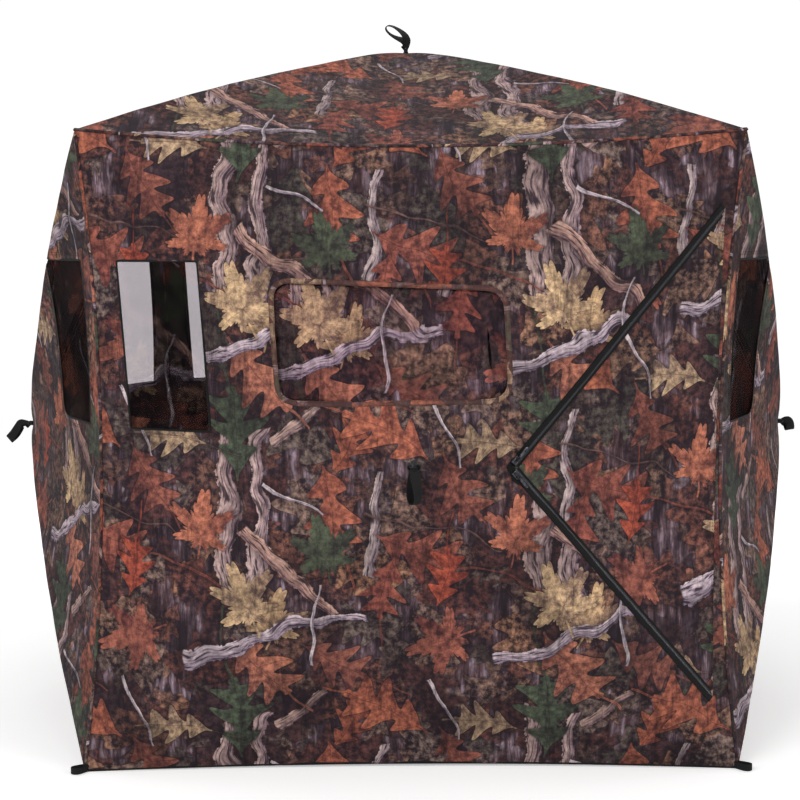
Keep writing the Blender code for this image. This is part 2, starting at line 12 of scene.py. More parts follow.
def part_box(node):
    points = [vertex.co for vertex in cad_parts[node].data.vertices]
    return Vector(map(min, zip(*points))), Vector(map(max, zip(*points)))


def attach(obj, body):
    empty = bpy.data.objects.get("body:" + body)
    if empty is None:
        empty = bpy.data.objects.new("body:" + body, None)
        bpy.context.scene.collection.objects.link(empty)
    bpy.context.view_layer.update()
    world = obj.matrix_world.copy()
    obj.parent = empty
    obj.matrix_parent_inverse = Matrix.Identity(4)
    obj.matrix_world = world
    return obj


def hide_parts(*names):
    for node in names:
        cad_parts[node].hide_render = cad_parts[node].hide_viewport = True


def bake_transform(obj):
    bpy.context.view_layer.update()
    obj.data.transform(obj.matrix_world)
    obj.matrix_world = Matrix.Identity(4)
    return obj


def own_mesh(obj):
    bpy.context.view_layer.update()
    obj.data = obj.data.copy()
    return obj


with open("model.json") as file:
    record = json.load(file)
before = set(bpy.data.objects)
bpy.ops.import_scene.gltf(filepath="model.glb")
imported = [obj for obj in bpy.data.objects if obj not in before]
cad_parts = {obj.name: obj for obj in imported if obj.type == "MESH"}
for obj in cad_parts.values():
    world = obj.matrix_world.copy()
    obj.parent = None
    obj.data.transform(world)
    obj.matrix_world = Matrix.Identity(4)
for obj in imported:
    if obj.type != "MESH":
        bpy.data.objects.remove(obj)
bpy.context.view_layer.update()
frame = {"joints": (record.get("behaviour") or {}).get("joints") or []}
JOINTS = {joint["name"]: joint for joint in frame["joints"]}

# Driving sizes, all read from the frame
EDGE = JOINTS["front_window_fold"]["pos_m"]
HALF = -EDGE[1]
HEIGHT = EDGE[2]
MID = HEIGHT / 2
BULGE = JOINTS["front_hub_pop"]["range_m"][1] / 2

# Stretched cloth, as in the CAD model
TIP = 0.05
POLE_BOW = 0.018
SAG = 0.022
PULL_SIDE = 0.042
PULL_TOP = 0.035
PULL_GROUND = 0.03
HEM_LIFT = 0.006
CLOTH = 0.0006

# The printed pattern repeats over this size
REPEAT = (0.683, 0.647)


# ---------------------------------------------------------------- node graphs


class Value:
    """A node socket that can be used in sums."""

    def __init__(self, graph, socket):
        self.graph = graph
        self.socket = socket

    def __add__(self, other):
        return self.graph.math("ADD", self, other)

    __radd__ = __add__

    def __sub__(self, other):
        return self.graph.math("SUBTRACT", self, other)

    def __rsub__(self, other):
        return self.graph.math("SUBTRACT", other, self)

    def __mul__(self, other):
        return self.graph.math("MULTIPLY", self, other)

    __rmul__ = __mul__

    def __truediv__(self, other):
        return self.graph.math("DIVIDE", self, other)

    def __neg__(self):
        return self.graph.math("MULTIPLY", self, -1.0)


class Graph:
    """Builds a node tree with short calls."""

    def __init__(self, tree):
        self.tree = tree

    def add(self, kind, inputs=None, **settings):
        node = self.tree.nodes.new(kind)
        for name, value in settings.items():
            setattr(node, name, value)
        for key, value in (inputs or {}).items():
            self.feed(node.inputs[key], value)
        return node

    def feed(self, socket, value):
        if isinstance(value, Value):
            self.tree.links.new(value.socket, socket)
        elif isinstance(value, str):
            socket.default_value = rgba(value)
        elif value is not None:
            socket.default_value = value

    def out(self, node, name=0):
        return Value(self, node.outputs[name])

    def math(self, operation, a, b=None, c=None, clamp=False):
        node = self.add("ShaderNodeMath", {0: a, 1: b, 2: c}, operation=operation, use_clamp=clamp)
        return self.out(node)

    def vector(self, operation, a, b=None, c=None, scale=None):
        node = self.add("ShaderNodeVectorMath", {0: a, 1: b, 2: c}, operation=operation)
        if scale is not None:
            self.feed(node.inputs["Scale"], scale)
        return self.out(node, "Value" if operation in ("LENGTH", "DOT_PRODUCT") else "Vector")

    def madd(self, a, b, c):
        return self.math("MULTIPLY_ADD", a, b, c)

    def absolute(self, a):
        return self.math("ABSOLUTE", a)

    def sine(self, a):
        return self.math("SINE", a)

    def cosine(self, a):
        return self.math("COSINE", a)

    def clamp(self, value):
        return self.math("ADD", value, 0.0, clamp=True)

    def split(self, vector):
        node = self.add("ShaderNodeSeparateXYZ", {0: vector})
        return [self.out(node, k) for k in range(3)]

    def join(self, x, y, z=0.0):
        return self.out(self.add("ShaderNodeCombineXYZ", {0: x, 1: y, 2: z}))

    def mix(self, factor, a, b, blend="MIX"):
        node = self.add("ShaderNodeMix", data_type="RGBA", blend_type=blend)
        self.feed(node.inputs[0], factor)
        self.feed(node.inputs[6], a)
        self.feed(node.inputs[7], b)
        return self.out(node, 2)

    def noise(self, vector, scale, detail=2.0, roughness=0.5, dimensions="2D", output="Fac"):
        inputs = {"Vector": vector, "Scale": scale, "Detail": detail, "Roughness": roughness}
        return self.out(self.add("ShaderNodeTexNoise", inputs, noise_dimensions=dimensions), output)

    def remap(self, value, low, high, to_low=0.0, to_high=1.0):
        inputs = {0: value, 1: low, 2: high, 3: to_low, 4: to_high}
        return self.out(self.add("ShaderNodeMapRange", inputs, clamp=True))

    def ramp(self, value, stops):
        node = self.add("ShaderNodeValToRGB", {0: value})
        ramp = node.color_ramp
        while len(ramp.elements) < len(stops):
            ramp.elements.new(0.5)
        for element, (place, colour) in zip(ramp.elements, stops):
            element.position = place
            element.color = rgba(colour)
        return self.out(node)

    def turn(self, vector, angle):
        node = self.add("ShaderNodeVectorRotate", {"Vector": vector, "Angle": angle}, rotation_type="Z_AXIS")
        return self.out(node)


def new_group(name, inputs, outputs):
    """A node group with its graph, its inputs as Values and its output node."""
    tree = bpy.data.node_groups.new(name, "ShaderNodeTree")
    for label, kind, default in inputs:
        socket = tree.interface.new_socket(label, in_out="INPUT", socket_type=kind)
        if default is not None:
            socket.default_value = default
    for label, kind in outputs:
        tree.interface.new_socket(label, in_out="OUTPUT", socket_type=kind)
    graph = Graph(tree)
    source = graph.add("NodeGroupInput")
    sink = graph.add("NodeGroupOutput")
    return tree, graph, [Value(graph, s) for s in source.outputs[:-1]], sink


def use_group(graph, tree, values):
    node = graph.add("ShaderNodeGroup")
    node.node_tree = tree
    for name, value in values.items():
        graph.feed(node.inputs[name], value)
    return node


def rgba(text):
    """A linear colour from a printed six-digit one."""
    parts = [int(text[k : k + 2], 16) / 255 for k in (0, 2, 4)]
    return (*(c / 12.92 if c <= 0.04045 else ((c + 0.055) / 1.055) ** 2.4 for c in parts), 1.0)


# ---------------------------------------------------------------- the print

# How far the ripple disturbs a printed thing, in its own size
LEAF_WAVER = 0.16
LIMB_WAVER = 0.35

# What a printed thing is given: what it lies on, its own coordinates, and its size, width and bend as traits
THING = [
    ("Under", "NodeSocketColor", (0, 0, 0, 1)),
    ("Place", "NodeSocketVector", None),
    ("Ripple", "NodeSocketVector", None),
    ("Mottle", "NodeSocketFloat", 0.5),
    ("Traits", "NodeSocketVector", None),
    ("Colour", "NodeSocketColor", (1, 1, 1, 1)),
]


def lay(graph, under, colour, depth, halo, softness=0.0008):
    """Puts colour over under, with a shadow round it, where depth (metres inside the outline) is positive."""
    shadow = graph.remap(depth, -halo, 0.002, 1.0, 0.36)
    shaded = graph.vector("SCALE", under, scale=shadow)
    mask = graph.remap(depth, -softness, softness)
    return graph.mix(mask, shaded, colour)


def new_thing(name, waver):
    """A group for one kind of printed thing, with its own coordinates disturbed by the ripple."""
    tree, g, values, sink = new_group(name, THING, [("Colour", "NodeSocketColor")])
    under, place, ripple, mottle, traits, colour = values
    u, v = g.split(g.vector("MULTIPLY_ADD", ripple, (waver, waver, 0.0), place))[:2]
    return tree, g, sink, under, (u, v), mottle, g.split(traits), colour


def make_oak_leaf():
    """A long leaf with round forward lobes, a midrib and side veins."""
    tree, g, sink, under, (u, v), mottle, (size, _, _), colour = new_thing("oak_leaf", LEAF_WAVER)
    u = u + 0.5
    v = g.madd(g.sine(u * 3.0), 0.05, v)
    side = g.absolute(v)
    t = g.clamp(g.madd(side, -0.55, u))
    wave = g.cosine(g.madd(t, 22.0, 2.4))
    body = g.math("POWER", g.sine(t * math.pi), 0.75)
    width = body * g.madd(wave, 0.135, 0.225)
    inner = width - side
    stalk = 0.011 - side + g.math("MINIMUM", u + 0.03, 0.0)
    depth = g.math("MAXIMUM", inner, stalk) * size
    rib = g.remap(side * size, 0.0004, 0.0014, 1.0, 0.0)
    vein = g.remap(g.absolute(g.sine(g.madd(t, 11.0, 1.2))), 0.03, 0.14, 0.6, 0.0)
    lines = g.math("MAXIMUM", rib, vein)
    light = g.clamp(g.madd(mottle, 1.7, v * 0.9 - 0.42))
    face = g.mix(light, dusk(g, colour), colour)
    face = g.mix(lines * 0.5, face, "2b1512")
    g.feed(sink.inputs[0], lay(g, under, face, depth, 0.012))
    return tree


def make_maple_leaf():
    """A broad leaf with five toothed points and veins from its stalk."""
    tree, g, sink, under, (u, v), mottle, (size, _, _), colour = new_thing("maple_leaf", LEAF_WAVER)
    u = u + 0.15
    radius = g.vector("LENGTH", g.join(u, v))
    bearing = g.math("ARCTAN2", v, u)
    swing = g.absolute(bearing)
    lobe = g.madd(g.cosine(bearing * 6.9), 0.5, 0.5)
    teeth = g.absolute(g.sine(bearing * 17.3))
    fall = g.remap(swing, 0.4, 2.9, 0.62, 0.22)
    reach = fall * g.madd(teeth, 0.15, g.madd(g.math("POWER", lobe, 1.4), 0.46, 0.44))
    inner = reach - radius
    stalk = 0.013 - g.absolute(v) - g.math("MAXIMUM", u, 0.0) + g.math("MINIMUM", u + 0.36, 0.0)
    depth = g.math("MAXIMUM", inner, stalk) * size
    spoke = g.absolute(g.sine(bearing * 3.45)) * radius * size
    veins = g.remap(spoke, 0.0005, 0.0019, 1.0, 0.0)
    branch = g.absolute(g.sine(g.madd(radius, 34.0, swing * 4.0)))
    veins = g.math("MAXIMUM", veins, g.remap(branch, 0.05, 0.22, 0.5, 0.0))
    glow = g.madd(g.cosine(bearing * 3.45), 0.25, v * 0.4)
    light = g.clamp(g.madd(mottle, 1.5, glow - 0.25))
    face = g.mix(light, dusk(g, colour), colour)
    face = g.mix(veins * 0.55, face, "38201a")
    g.feed(sink.inputs[0], lay(g, under, face, depth, 0.012))
    return tree


def dusk(graph, colour):
    """The shaded side of a printed colour."""
    return graph.vector("MULTIPLY", colour, (0.30, 0.27, 0.36))


def make_branch():
    """A curved limb with lengthwise cracked bark, lit from above."""
    tree, g, sink, under, (u, v), mottle, (size, width, bend), colour = new_thing("branch", LIMB_WAVER)
    v = g.madd(g.sine(g.madd(u, 2.6, 0.6)), -bend, v * size)
    half = width * g.madd(u, -0.3, g.madd(mottle, 0.9, 0.55))
    side = g.absolute(v)
    ends = (1.0 - g.absolute(u)) * 0.08
    depth = g.math("MINIMUM", half - side, ends)
    bark = g.join(u * size * 22.0, v * 170.0)
    crack = g.noise(bark, 1.0, 2.0, 0.62)
    flank = v / half
    tone = g.madd(flank, 0.40, g.madd(crack, 2.6, -0.88))
    face = g.mix(g.clamp(tone), dusk(g, colour), colour)
    face = g.mix(g.remap(crack, 0.34, 0.46, 0.85, 0.0), face, "1c1518")
    g.feed(sink.inputs[0], lay(g, under, face, depth, 0.015))
    return tree


# Colours of the half-hidden leaves and of the bark behind everything, each with its place on a ramp
LITTER = (
    (0.0, "3a2a2c"), (0.22, "6b3e34"), (0.45, "8a5a48"), (0.60, "4c4a40"), (0.75, "857268"), (1.0, "a5785c"),
)
BARK = ((0.36, "231b20"), (0.47, "3b2f35"), (0.56, "5d4c50"), (0.64, "877580"), (0.76, "b9abb8"))


def make_scatter():
    """Half-hidden leaves and bark of the background, one to a cell."""
    inputs = [
        ("Under", "NodeSocketColor", (0, 0, 0, 1)),
        ("Position", "NodeSocketVector", None),
        ("Mottle", "NodeSocketFloat", 0.5),
        ("Scale", "NodeSocketFloat", 9.0),
        ("Strength", "NodeSocketFloat", 0.8),
    ]
    tree, g, values, sink = new_group("leaf_litter", inputs, [("Colour", "NodeSocketColor")])
    under, position, mottle, scale, strength = values
    cells = g.add(
        "ShaderNodeTexVoronoi",
        {"Vector": position, "Scale": scale, "Randomness": 0.85},
        voronoi_dimensions="2D",
    )
    where = g.out(cells, "Position")
    dice = g.split(g.out(cells, "Color"))
    away = g.vector("SUBTRACT", position, where)
    turned = g.turn(g.vector("SCALE", away, scale=scale), dice[0] * 6.283)
    u, v = g.split(turned)[:2]
    side = g.absolute(v)
    t = g.clamp(g.madd(u, 0.85, 0.5) - side * 0.5)
    wave = g.cosine(g.madd(t, 14.0 + 10.0 * dice[1], 2.4))
    width = g.math("POWER", g.sine(t * math.pi), 0.8) * g.madd(wave, 0.13, 0.30)
    depth = (width - side) / scale
    hue = g.ramp(dice[2], LITTER)
    light = g.clamp(g.madd(mottle, 2.4, v * 0.9 - 0.85))
    face = g.mix(light, "1d1519", hue)
    face = g.mix(g.remap(side / scale, 0.0005, 0.0015, 0.5, 0.0), face, "1c1214")
    mask = g.remap(depth, -0.0012, 0.0012) * strength
    shadow = g.remap(depth, -0.010, 0.001, 1.0, 0.5)
    g.feed(sink.inputs[0], g.mix(mask, g.vector("SCALE", under, scale=shadow), face))
    return tree


# Layers of printed things, from the lowest: centre, angle in degrees, size and colour, and a limb's width
# and bend
LAYERS = [
    ("branch", [
        ((0.277, -0.10), 90, 0.19, "ae958e", 0.021, 0.004),
        ((-0.334, -0.12), 88, 0.19, "b79e98", 0.019, 0.006),
        ((-0.082, -0.13), 84, 0.12, "b2a09c", 0.011, 0.006),
        ((-0.252, 0.077), 38, 0.075, "ab9084", 0.012, 0.002),
    ]),
    ("oak", [
        ((-0.144, 0.041), 60, 0.13, "9d5a42"),
        ((0.103, -0.046), -60, 0.16, "8e5544"),
        ((0.293, 0.060), 95, 0.20, "4c5a44"),
        ((-0.169, -0.098), -80, 0.19, "a35f47"),
        ((0.010, -0.185), -20, 0.19, "935544"),
        ((-0.170, 0.200), -30, 0.16, "8d5746"),
    ]),
    ("maple", [
        ((-0.190, -0.180), 100, 0.16, "4a5540"),
        ((0.060, 0.245), 200, 0.17, "985a48"),
        ((0.385, 0.308), 75, 0.15, "c0a078"),
    ]),
    ("oak", [
        ((0.159, 0.040), 172, 0.14, "b49a78"),
        ((-0.062, 0.070), 152, 0.20, "ab6449"),
        ((0.062, -0.247), 80, 0.13, "a85038"),
        ((0.354, 0.190), -48, 0.19, "b5745a"),
        ((-0.056, -0.275), -100, 0.15, "8f5040"),
    ]),
    ("branch", [
        ((0.380, 0.262), 12, 0.21, "c0b0b4", 0.0150, 0.018),
        ((-0.252, -0.252), -45, 0.16, "b49080", 0.0145, 0.008),
        ((0.041, -0.134), -16, 0.150, "6a5048", 0.0018, 0.006),
    ]),
    ("maple", [
        ((0.221, -0.144), 85, 0.16, "ad6a50"),
        ((0.316, 0.352), 110, 0.18, "c6a880"),
    ]),
    ("branch", [
        ((0.072, 0.077), -68, 0.085, "cabcbc", 0.0030, 0.008),
        ((-0.257, -0.082), -28, 0.070, "c4b6b8", 0.0030, 0.006),
        ((-0.216, 0.290), 82, 0.100, "c4b8b8", 0.0030, 0.010),
    ]),
]


def pick(graph, position, things, squeeze):
    """Of several printed things: the nearest one's own coordinates in its size, its traits and its colour."""
    best = place = traits = shade = None
    for centre, angle, size, colour, *limb in things:
        high = (centre[0] + REPEAT[0] / 2, centre[1] + REPEAT[1] / 2, 1.0)
        low = (centre[0] - REPEAT[0] / 2, centre[1] - REPEAT[1] / 2, -1.0)
        away = graph.vector("SUBTRACT", graph.vector("WRAP", position, high, low), (*centre, 0.0))
        c = math.cos(math.radians(angle)) / size
        s = math.sin(math.radians(angle)) / size
        own = graph.join(
            graph.vector("DOT_PRODUCT", away, (c, s, 0.0)),
            graph.vector("DOT_PRODUCT", away, (-s, c, 0.0)),
        )
        reach = graph.vector("LENGTH", graph.vector("MULTIPLY", own, (1.0, squeeze, 0.0)))
        sizes = (size, *limb) if limb else (size, 0.0, 0.0)
        if best is None:
            best, place, traits, shade = reach, own, (*sizes, 1.0), colour
            continue
        nearer = graph.math("LESS_THAN", reach, best)
        best = graph.math("MINIMUM", reach, best)
        place = graph.mix(nearer, place, own)
        traits = graph.mix(nearer, traits, (*sizes, 1.0))
        shade = graph.mix(nearer, shade, colour)
    return place, traits, shade


def after(graph, position, colour):
    """The same position, worked out only once the colour is known, so few values are held at a time."""
    return graph.vector("MULTIPLY_ADD", colour, (1e-9, 1e-9, 0.0), position)


def make_print():
    """The camouflage: bark, litter, limbs and leaves. Its input is a place on the cloth in metres."""
    inputs = [("Position", "NodeSocketVector", None)]
    tree, g, (position,), sink = new_group("woodland_print", inputs, [("Colour", "NodeSocketColor")])
    mottle = g.noise(position, 62.0, 3.0, 0.66)
    ripple = g.vector("SUBTRACT", g.noise(position, 9.0, 1.0, 0.55, output="Color"), (0.5, 0.5, 0.5))
    wide = g.noise(position, 6.0, 1.0, 0.5)
    streaks = g.noise(g.vector("MULTIPLY", position, (48.0, 7.0, 0.0)), 1.0, 4.0, 0.68)
    depth = g.madd(streaks, 0.95, g.madd(wide, 0.45, -0.20))
    ground = g.ramp(depth, BARK)
    colour = g.mix(g.remap(wide, 0.50, 0.66, 0.0, 0.6), ground, "3a2220")
    litter = make_scatter()
    for offset, scale, strength in ((0.0, 9.5, 0.75), (8.1, 13.0, 0.7), (3.7, 6.2, 0.9)):
        shifted = g.vector("ADD", after(g, position, colour), (offset, offset, 0.0))
        shifted = g.vector("MULTIPLY_ADD", ripple, (0.03, 0.03, 0.0), shifted)
        values = {"Under": colour, "Position": shifted, "Mottle": mottle}
        colour = g.out(use_group(g, litter, {**values, "Scale": scale, "Strength": strength}))
    kinds = {"oak": make_oak_leaf(), "maple": make_maple_leaf(), "branch": make_branch()}
    for kind, things in LAYERS:
        place, traits, shade = pick(g, after(g, position, colour), things, 2.5 if kind == "branch" else 1.2)
        values = (colour, place, ripple, mottle, traits, shade)
        colour = g.out(use_group(g, kinds[kind], dict(zip((label for label, _, _ in THING), values))))
    grime = g.remap(streaks, 0.30, 0.46, 0.50, 1.05) * g.remap(wide, 0.34, 0.50, 0.62, 1.0)
    grime = grime * g.remap(mottle, 0.34, 0.66, 0.72, 1.28)
    colour = g.vector("SCALE", colour, scale=grime)
    g.feed(sink.inputs[0], g.vector("MULTIPLY_ADD", colour, (1.0, 0.97, 0.97), (0.012, 0.008, 0.011)))
    return tree


# ---------------------------------------------------------------- materials


# Threads of the cloth and of the mesh, from one to the next
WEAVE_PITCH = 0.0011
MESH_PITCH = 0.0022


def new_material(name, **settings):
    """A material with its graph and its shader, whose inputs are set by name."""
    material = bpy.data.materials.new(name)
    material.use_nodes = True
    graph = Graph(material.node_tree)
    shader = material.node_tree.nodes["Principled BSDF"]
    for label, value in settings.items():
        shader.inputs[label.replace("_", " ")].default_value = value
    return material, graph, shader


def print_place(graph):
    node = graph.add("ShaderNodeUVMap")
    node.uv_map = "print"
    return graph.out(node, "UV")


def add_bump(graph, shader, height, distance, strength=1.0):
    node = graph.add("ShaderNodeBump", {"Height": height, "Distance": distance, "Strength": strength})
    graph.feed(shader.inputs["Normal"], graph.out(node, "Normal"))


def weave_height(graph, place, pitch):
    """Plain weave: threads crossing over and under each other at the given pitch in metres."""
    u, v = graph.split(place)[:2]
    warp = graph.sine(u * (2 * math.pi / pitch))
    weft = graph.sine(v * (2 * math.pi / pitch))
    return warp * weft


def show_mix(graph, share, first, second):
    """Makes a mix of two shaders the surface: none of the second at a share of 0."""
    mixer = graph.add("ShaderNodeMixShader", {0: share})
    graph.tree.links.new(first.outputs[0], mixer.inputs[1])
    graph.tree.links.new(second.outputs[0], mixer.inputs[2])
    graph.tree.links.new(mixer.outputs[0], graph.tree.nodes["Material Output"].inputs["Surface"])
    return mixer


def camera_only(graph, shader, colour):
    """Shows the full shader to the camera and a plain one to light bounced off other things."""
    plain = graph.add("ShaderNodeBsdfDiffuse", {"Color": colour})
    rays = graph.add("ShaderNodeLightPath")
    return show_mix(graph, graph.out(rays, "Is Camera Ray"), plain, shader)


def make_camo(name, print_tree, shift=(0.0, 0.0, 0.0), haze=0.0):
    """Coated polyester cloth with the woodland print."""
    settings = {"Specular_IOR_Level": 0.10, "Sheen_Weight": 0.03, "Sheen_Roughness": 0.5}
    material, graph, shader = new_material(name, **settings)
    place = print_place(graph)
    moved = graph.vector("ADD", place, shift)
    colour = graph.out(use_group(graph, print_tree, {"Position": moved}))
    fade = graph.noise(place, 2.3, 1.0)
    tone = graph.remap(fade, 0.3, 0.7, 0.92, 1.10)
    colour = graph.mix(1.0, colour, graph.join(tone, tone, tone), "MULTIPLY")
    if haze:
        colour = graph.mix(haze, colour, "6a4a42")
    graph.feed(shader.inputs["Base Color"], colour)
    graph.feed(shader.inputs["Roughness"], graph.remap(fade, 0.3, 0.7, 0.62, 0.78))
    puckers = graph.noise(place, 38.0, 1.0, 0.55)
    height = puckers * 0.9 + weave_height(graph, place, WEAVE_PITCH) * 0.06
    add_bump(graph, shader, height, 0.0016, 0.6)
    camera_only(graph, shader, "5a443f")
    return material


def make_lining():
    """The dark coated back of the cloth."""
    material, graph, shader = new_material("dark_lining", Roughness=0.7)
    place = print_place(graph)
    tone = graph.noise(place, 14.0, 3.0)
    colour = graph.ramp(tone, [(0.3, "151314"), (0.7, "232022")])
    graph.feed(shader.inputs["Base Color"], colour)
    add_bump(graph, shader, weave_height(graph, place, WEAVE_PITCH), 0.0002, 0.5)
    return material


def make_mesh_cloth(name, print_tree, cover):
    """Fine see-through mesh: printed threads around open holes."""
    material, graph, shader = new_material(name, Roughness=0.8, Specular_IOR_Level=0.1)
    place = print_place(graph)
    colour = graph.out(use_group(graph, print_tree, {"Position": place}))
    graph.feed(shader.inputs["Base Color"], graph.vector("SCALE", colour, scale=0.42))
    warp, weft = (graph.cosine(c * (2 * math.pi / MESH_PITCH)) for c in graph.split(place)[:2])
    threads = graph.math("MAXIMUM", warp, weft)
    cloudy = graph.noise(place, 5.0, 2.0)
    share = graph.clamp(cover + 0.03 * threads + 0.05 * (cloudy - 0.5))
    open_hole = graph.add("ShaderNodeBsdfTransparent", {"Color": (0.985, 0.965, 0.98, 1.0)})
    show_mix(graph, share, open_hole, camera_only(graph, shader, "2c2220"))
    add_bump(graph, shader, threads, 0.0001, 0.3)
    return material


def make_webbing(name, colour, pitch=0.0024):
    """Ribbed woven webbing or tape, with painted shade in the grooves between the ribs and random fuzz and
    dust.
    """
    settings = {"Roughness": 0.62, "Sheen_Weight": 0.02, "Specular_IOR_Level": 0.22}
    material, graph, shader = new_material(name, **settings)
    place = print_place(graph)
    u, v = graph.split(place)[:2]
    rib = graph.sine(u * (2 * math.pi / pitch) + 2.0 * graph.sine(v * (math.pi / pitch)))
    fuzz = graph.noise(place, 700.0, 2.0)
    dust = graph.noise(place, 30.0, 2.0)
    # Painted shade and light: the colour is lighter on the ribs' crests and darker in their grooves; fuzz and
    # dust vary it at random.
    light = graph.clamp(0.35 + 0.25 * rib + 0.3 * (fuzz - 0.5) + 0.4 * (dust - 0.5))
    graph.feed(shader.inputs["Base Color"], graph.mix(light, "070707", colour))
    add_bump(graph, shader, rib + 0.5 * fuzz, 0.0004, 0.8)
    return material


def make_teeth():
    """The zip's interlocked coil, with a painted highlight on the crests of its turns."""
    material, graph, shader = new_material("zip_coil", Roughness=0.24)
    place = print_place(graph)
    u, v = graph.split(place)[:2]
    coil = graph.absolute(graph.sine(u * (math.pi / 0.0016) + v * 500.0))
    # Painted highlight: the colour goes from near black in the grooves to grey on the coil's crests.
    graph.feed(shader.inputs["Base Color"], graph.mix(coil, "060607", "3c3c42"))
    add_bump(graph, shader, coil, 0.0008, 0.9)
    return material


def make_solid(name, low, high, roughness, metallic, grain):
    """Moulded, metal or rod surfaces with fine grain and slight wear."""
    material, graph, shader = new_material(name, Metallic=metallic)
    coords = graph.out(graph.add("ShaderNodeTexCoord"), "Object")
    fine = graph.noise(coords, grain, 3.0, dimensions="3D")
    worn = graph.noise(coords, 22.0, 2.0, dimensions="3D")
    graph.feed(shader.inputs["Base Color"], graph.mix(graph.remap(fine, 0.35, 0.7), low, high))
    graph.feed(shader.inputs["Roughness"], graph.remap(worn, 0.3, 0.7, roughness - 0.08, roughness + 0.1))
    add_bump(graph, shader, fine, 0.0002, 0.5)
    return material


# ---------------------------------------------------------------- the stretched cloth


class Panel:
    """A wall or the roof: its own frame has X across, Y up and Z out."""

    def __init__(self, name, across, up, origin, print_shift):
        self.name = name
        self.x = np.array(across, float)
        self.y = np.array(up, float)
        self.z = np.cross(self.x, self.y)
        self.origin = np.array(origin, float)
        self.rise = HALF if name == "roof" else MID
        self.print_shift = np.array(print_shift, float)

    def world(self, x, y, z):
        return (
            self.origin
            + np.multiply.outer(x, self.x)
            + np.multiply.outer(y, self.y)
            + np.multiply.outer(z, self.z)
        )

    def local(self, point):
        away = np.asarray(point, float) - self.origin
        return away @ self.x, away @ self.y, away @ self.z

    def shape(self, a, b):
        """Where the stretched cloth is at (a, b), each from -1 to 1."""
        a = np.asarray(a, float)
        b = np.asarray(b, float)
        s = np.maximum(np.abs(a), np.abs(b))
        m = np.minimum(np.abs(a), np.abs(b)) / np.maximum(s, 1e-9)
        slack = 1 - m * m
        cone = 1 - (np.hypot(s, TIP) - TIP) / (math.hypot(1, TIP) - TIP)
        out = BULGE * cone + 4 * s * (1 - s) * (POLE_BOW - slack * SAG)
        sideways = np.abs(a) >= np.abs(b)
        roof = self.name == "roof"
        ground = ~sideways & (b < 0) & (not roof)
        pull = np.where(sideways, PULL_TOP if roof else PULL_SIDE, np.where(ground, PULL_GROUND, PULL_TOP))
        pull = pull * slack * s * s
        x = a * HALF - np.where(sideways, np.sign(a) * pull, 0.0)
        y = b * self.rise - np.where(~sideways & ~ground, np.sign(b) * pull, 0.0)
        y = y + np.where(ground, HEM_LIFT * slack * s * s, 0.0)
        return x, y, out - pull

    def find(self, x, y):
        """The (a, b) whose cloth is x across and y up from the panel's middle."""
        a = np.asarray(x, float) / HALF
        b = np.asarray(y, float) / self.rise
        for _ in range(14):
            fx, fy, _ = self.shape(a, b)
            a = a + (x - fx) / HALF
            b = b + (y - fy) / self.rise
        return a, b


PANELS = {
    "front": Panel("front", (1, 0, 0), (0, 0, 1), (0, -HALF, MID), (0.0, 0.0)),
    "right": Panel("right", (0, 1, 0), (0, 0, 1), (HALF, 0, MID), (0.21, 0.17)),
    "rear": Panel("rear", (-1, 0, 0), (0, 0, 1), (0, HALF, MID), (0.37, 0.30)),
    "left": Panel("left", (0, -1, 0), (0, 0, 1), (-HALF, 0, MID), (0.52, 0.43)),
    "roof": Panel("roof", (1, 0, 0), (0, 1, 0), (0, 0, HEIGHT), (0.11, 0.29)),
}


def soft_noise(x, y, scale, seed):
    """Smooth noise from -1 to 1 at places given as arrays."""
    places = zip(np.ravel(x) * scale, np.ravel(y) * scale)
    return np.array([noise.noise(Vector((px, py, seed))) for px, py in places]).reshape(np.shape(x))


def crease(x, y, start, end, width, depth):
    """A fold along a segment, fading at its ends; a positive depth presses the cloth in."""
    start = np.array(start, float)
    along = np.array(end, float) - start
    length = np.hypot(*along)
    along = along / length
    u = ((x - start[0]) * along[0] + (y - start[1]) * along[1]) / length
    v = -(x - start[0]) * along[1] + (y - start[1]) * along[0]
    fade = np.clip(u, 0, 1) * np.clip(1 - u, 0, 1) * 4
    shape = (v / width) * np.exp(0.5 - (v / width) ** 2)
    return depth * fade * shape


# Folds of the front wall, as start, end, half width and depth in metres from its hub
FRONT_FOLDS = (
    ((-0.20, -0.010), (0.02, -0.026), 0.010, 0.0045),
    ((-0.16, -0.040), (0.00, -0.020), 0.009, 0.0030),
    ((0.00, -0.030), (0.23, -0.012), 0.010, 0.0055),
    ((0.02, -0.055), (0.16, -0.045), 0.009, 0.0035),
    ((-0.31, 0.120), (-0.12, 0.108), 0.010, 0.0040),
    ((0.02, 0.118), (0.22, 0.110), 0.009, 0.0025),
    ((0.24, -0.050), (0.42, -0.250), 0.014, 0.0030),
    ((0.24, 0.060), (0.45, 0.290), 0.014, 0.0030),
)


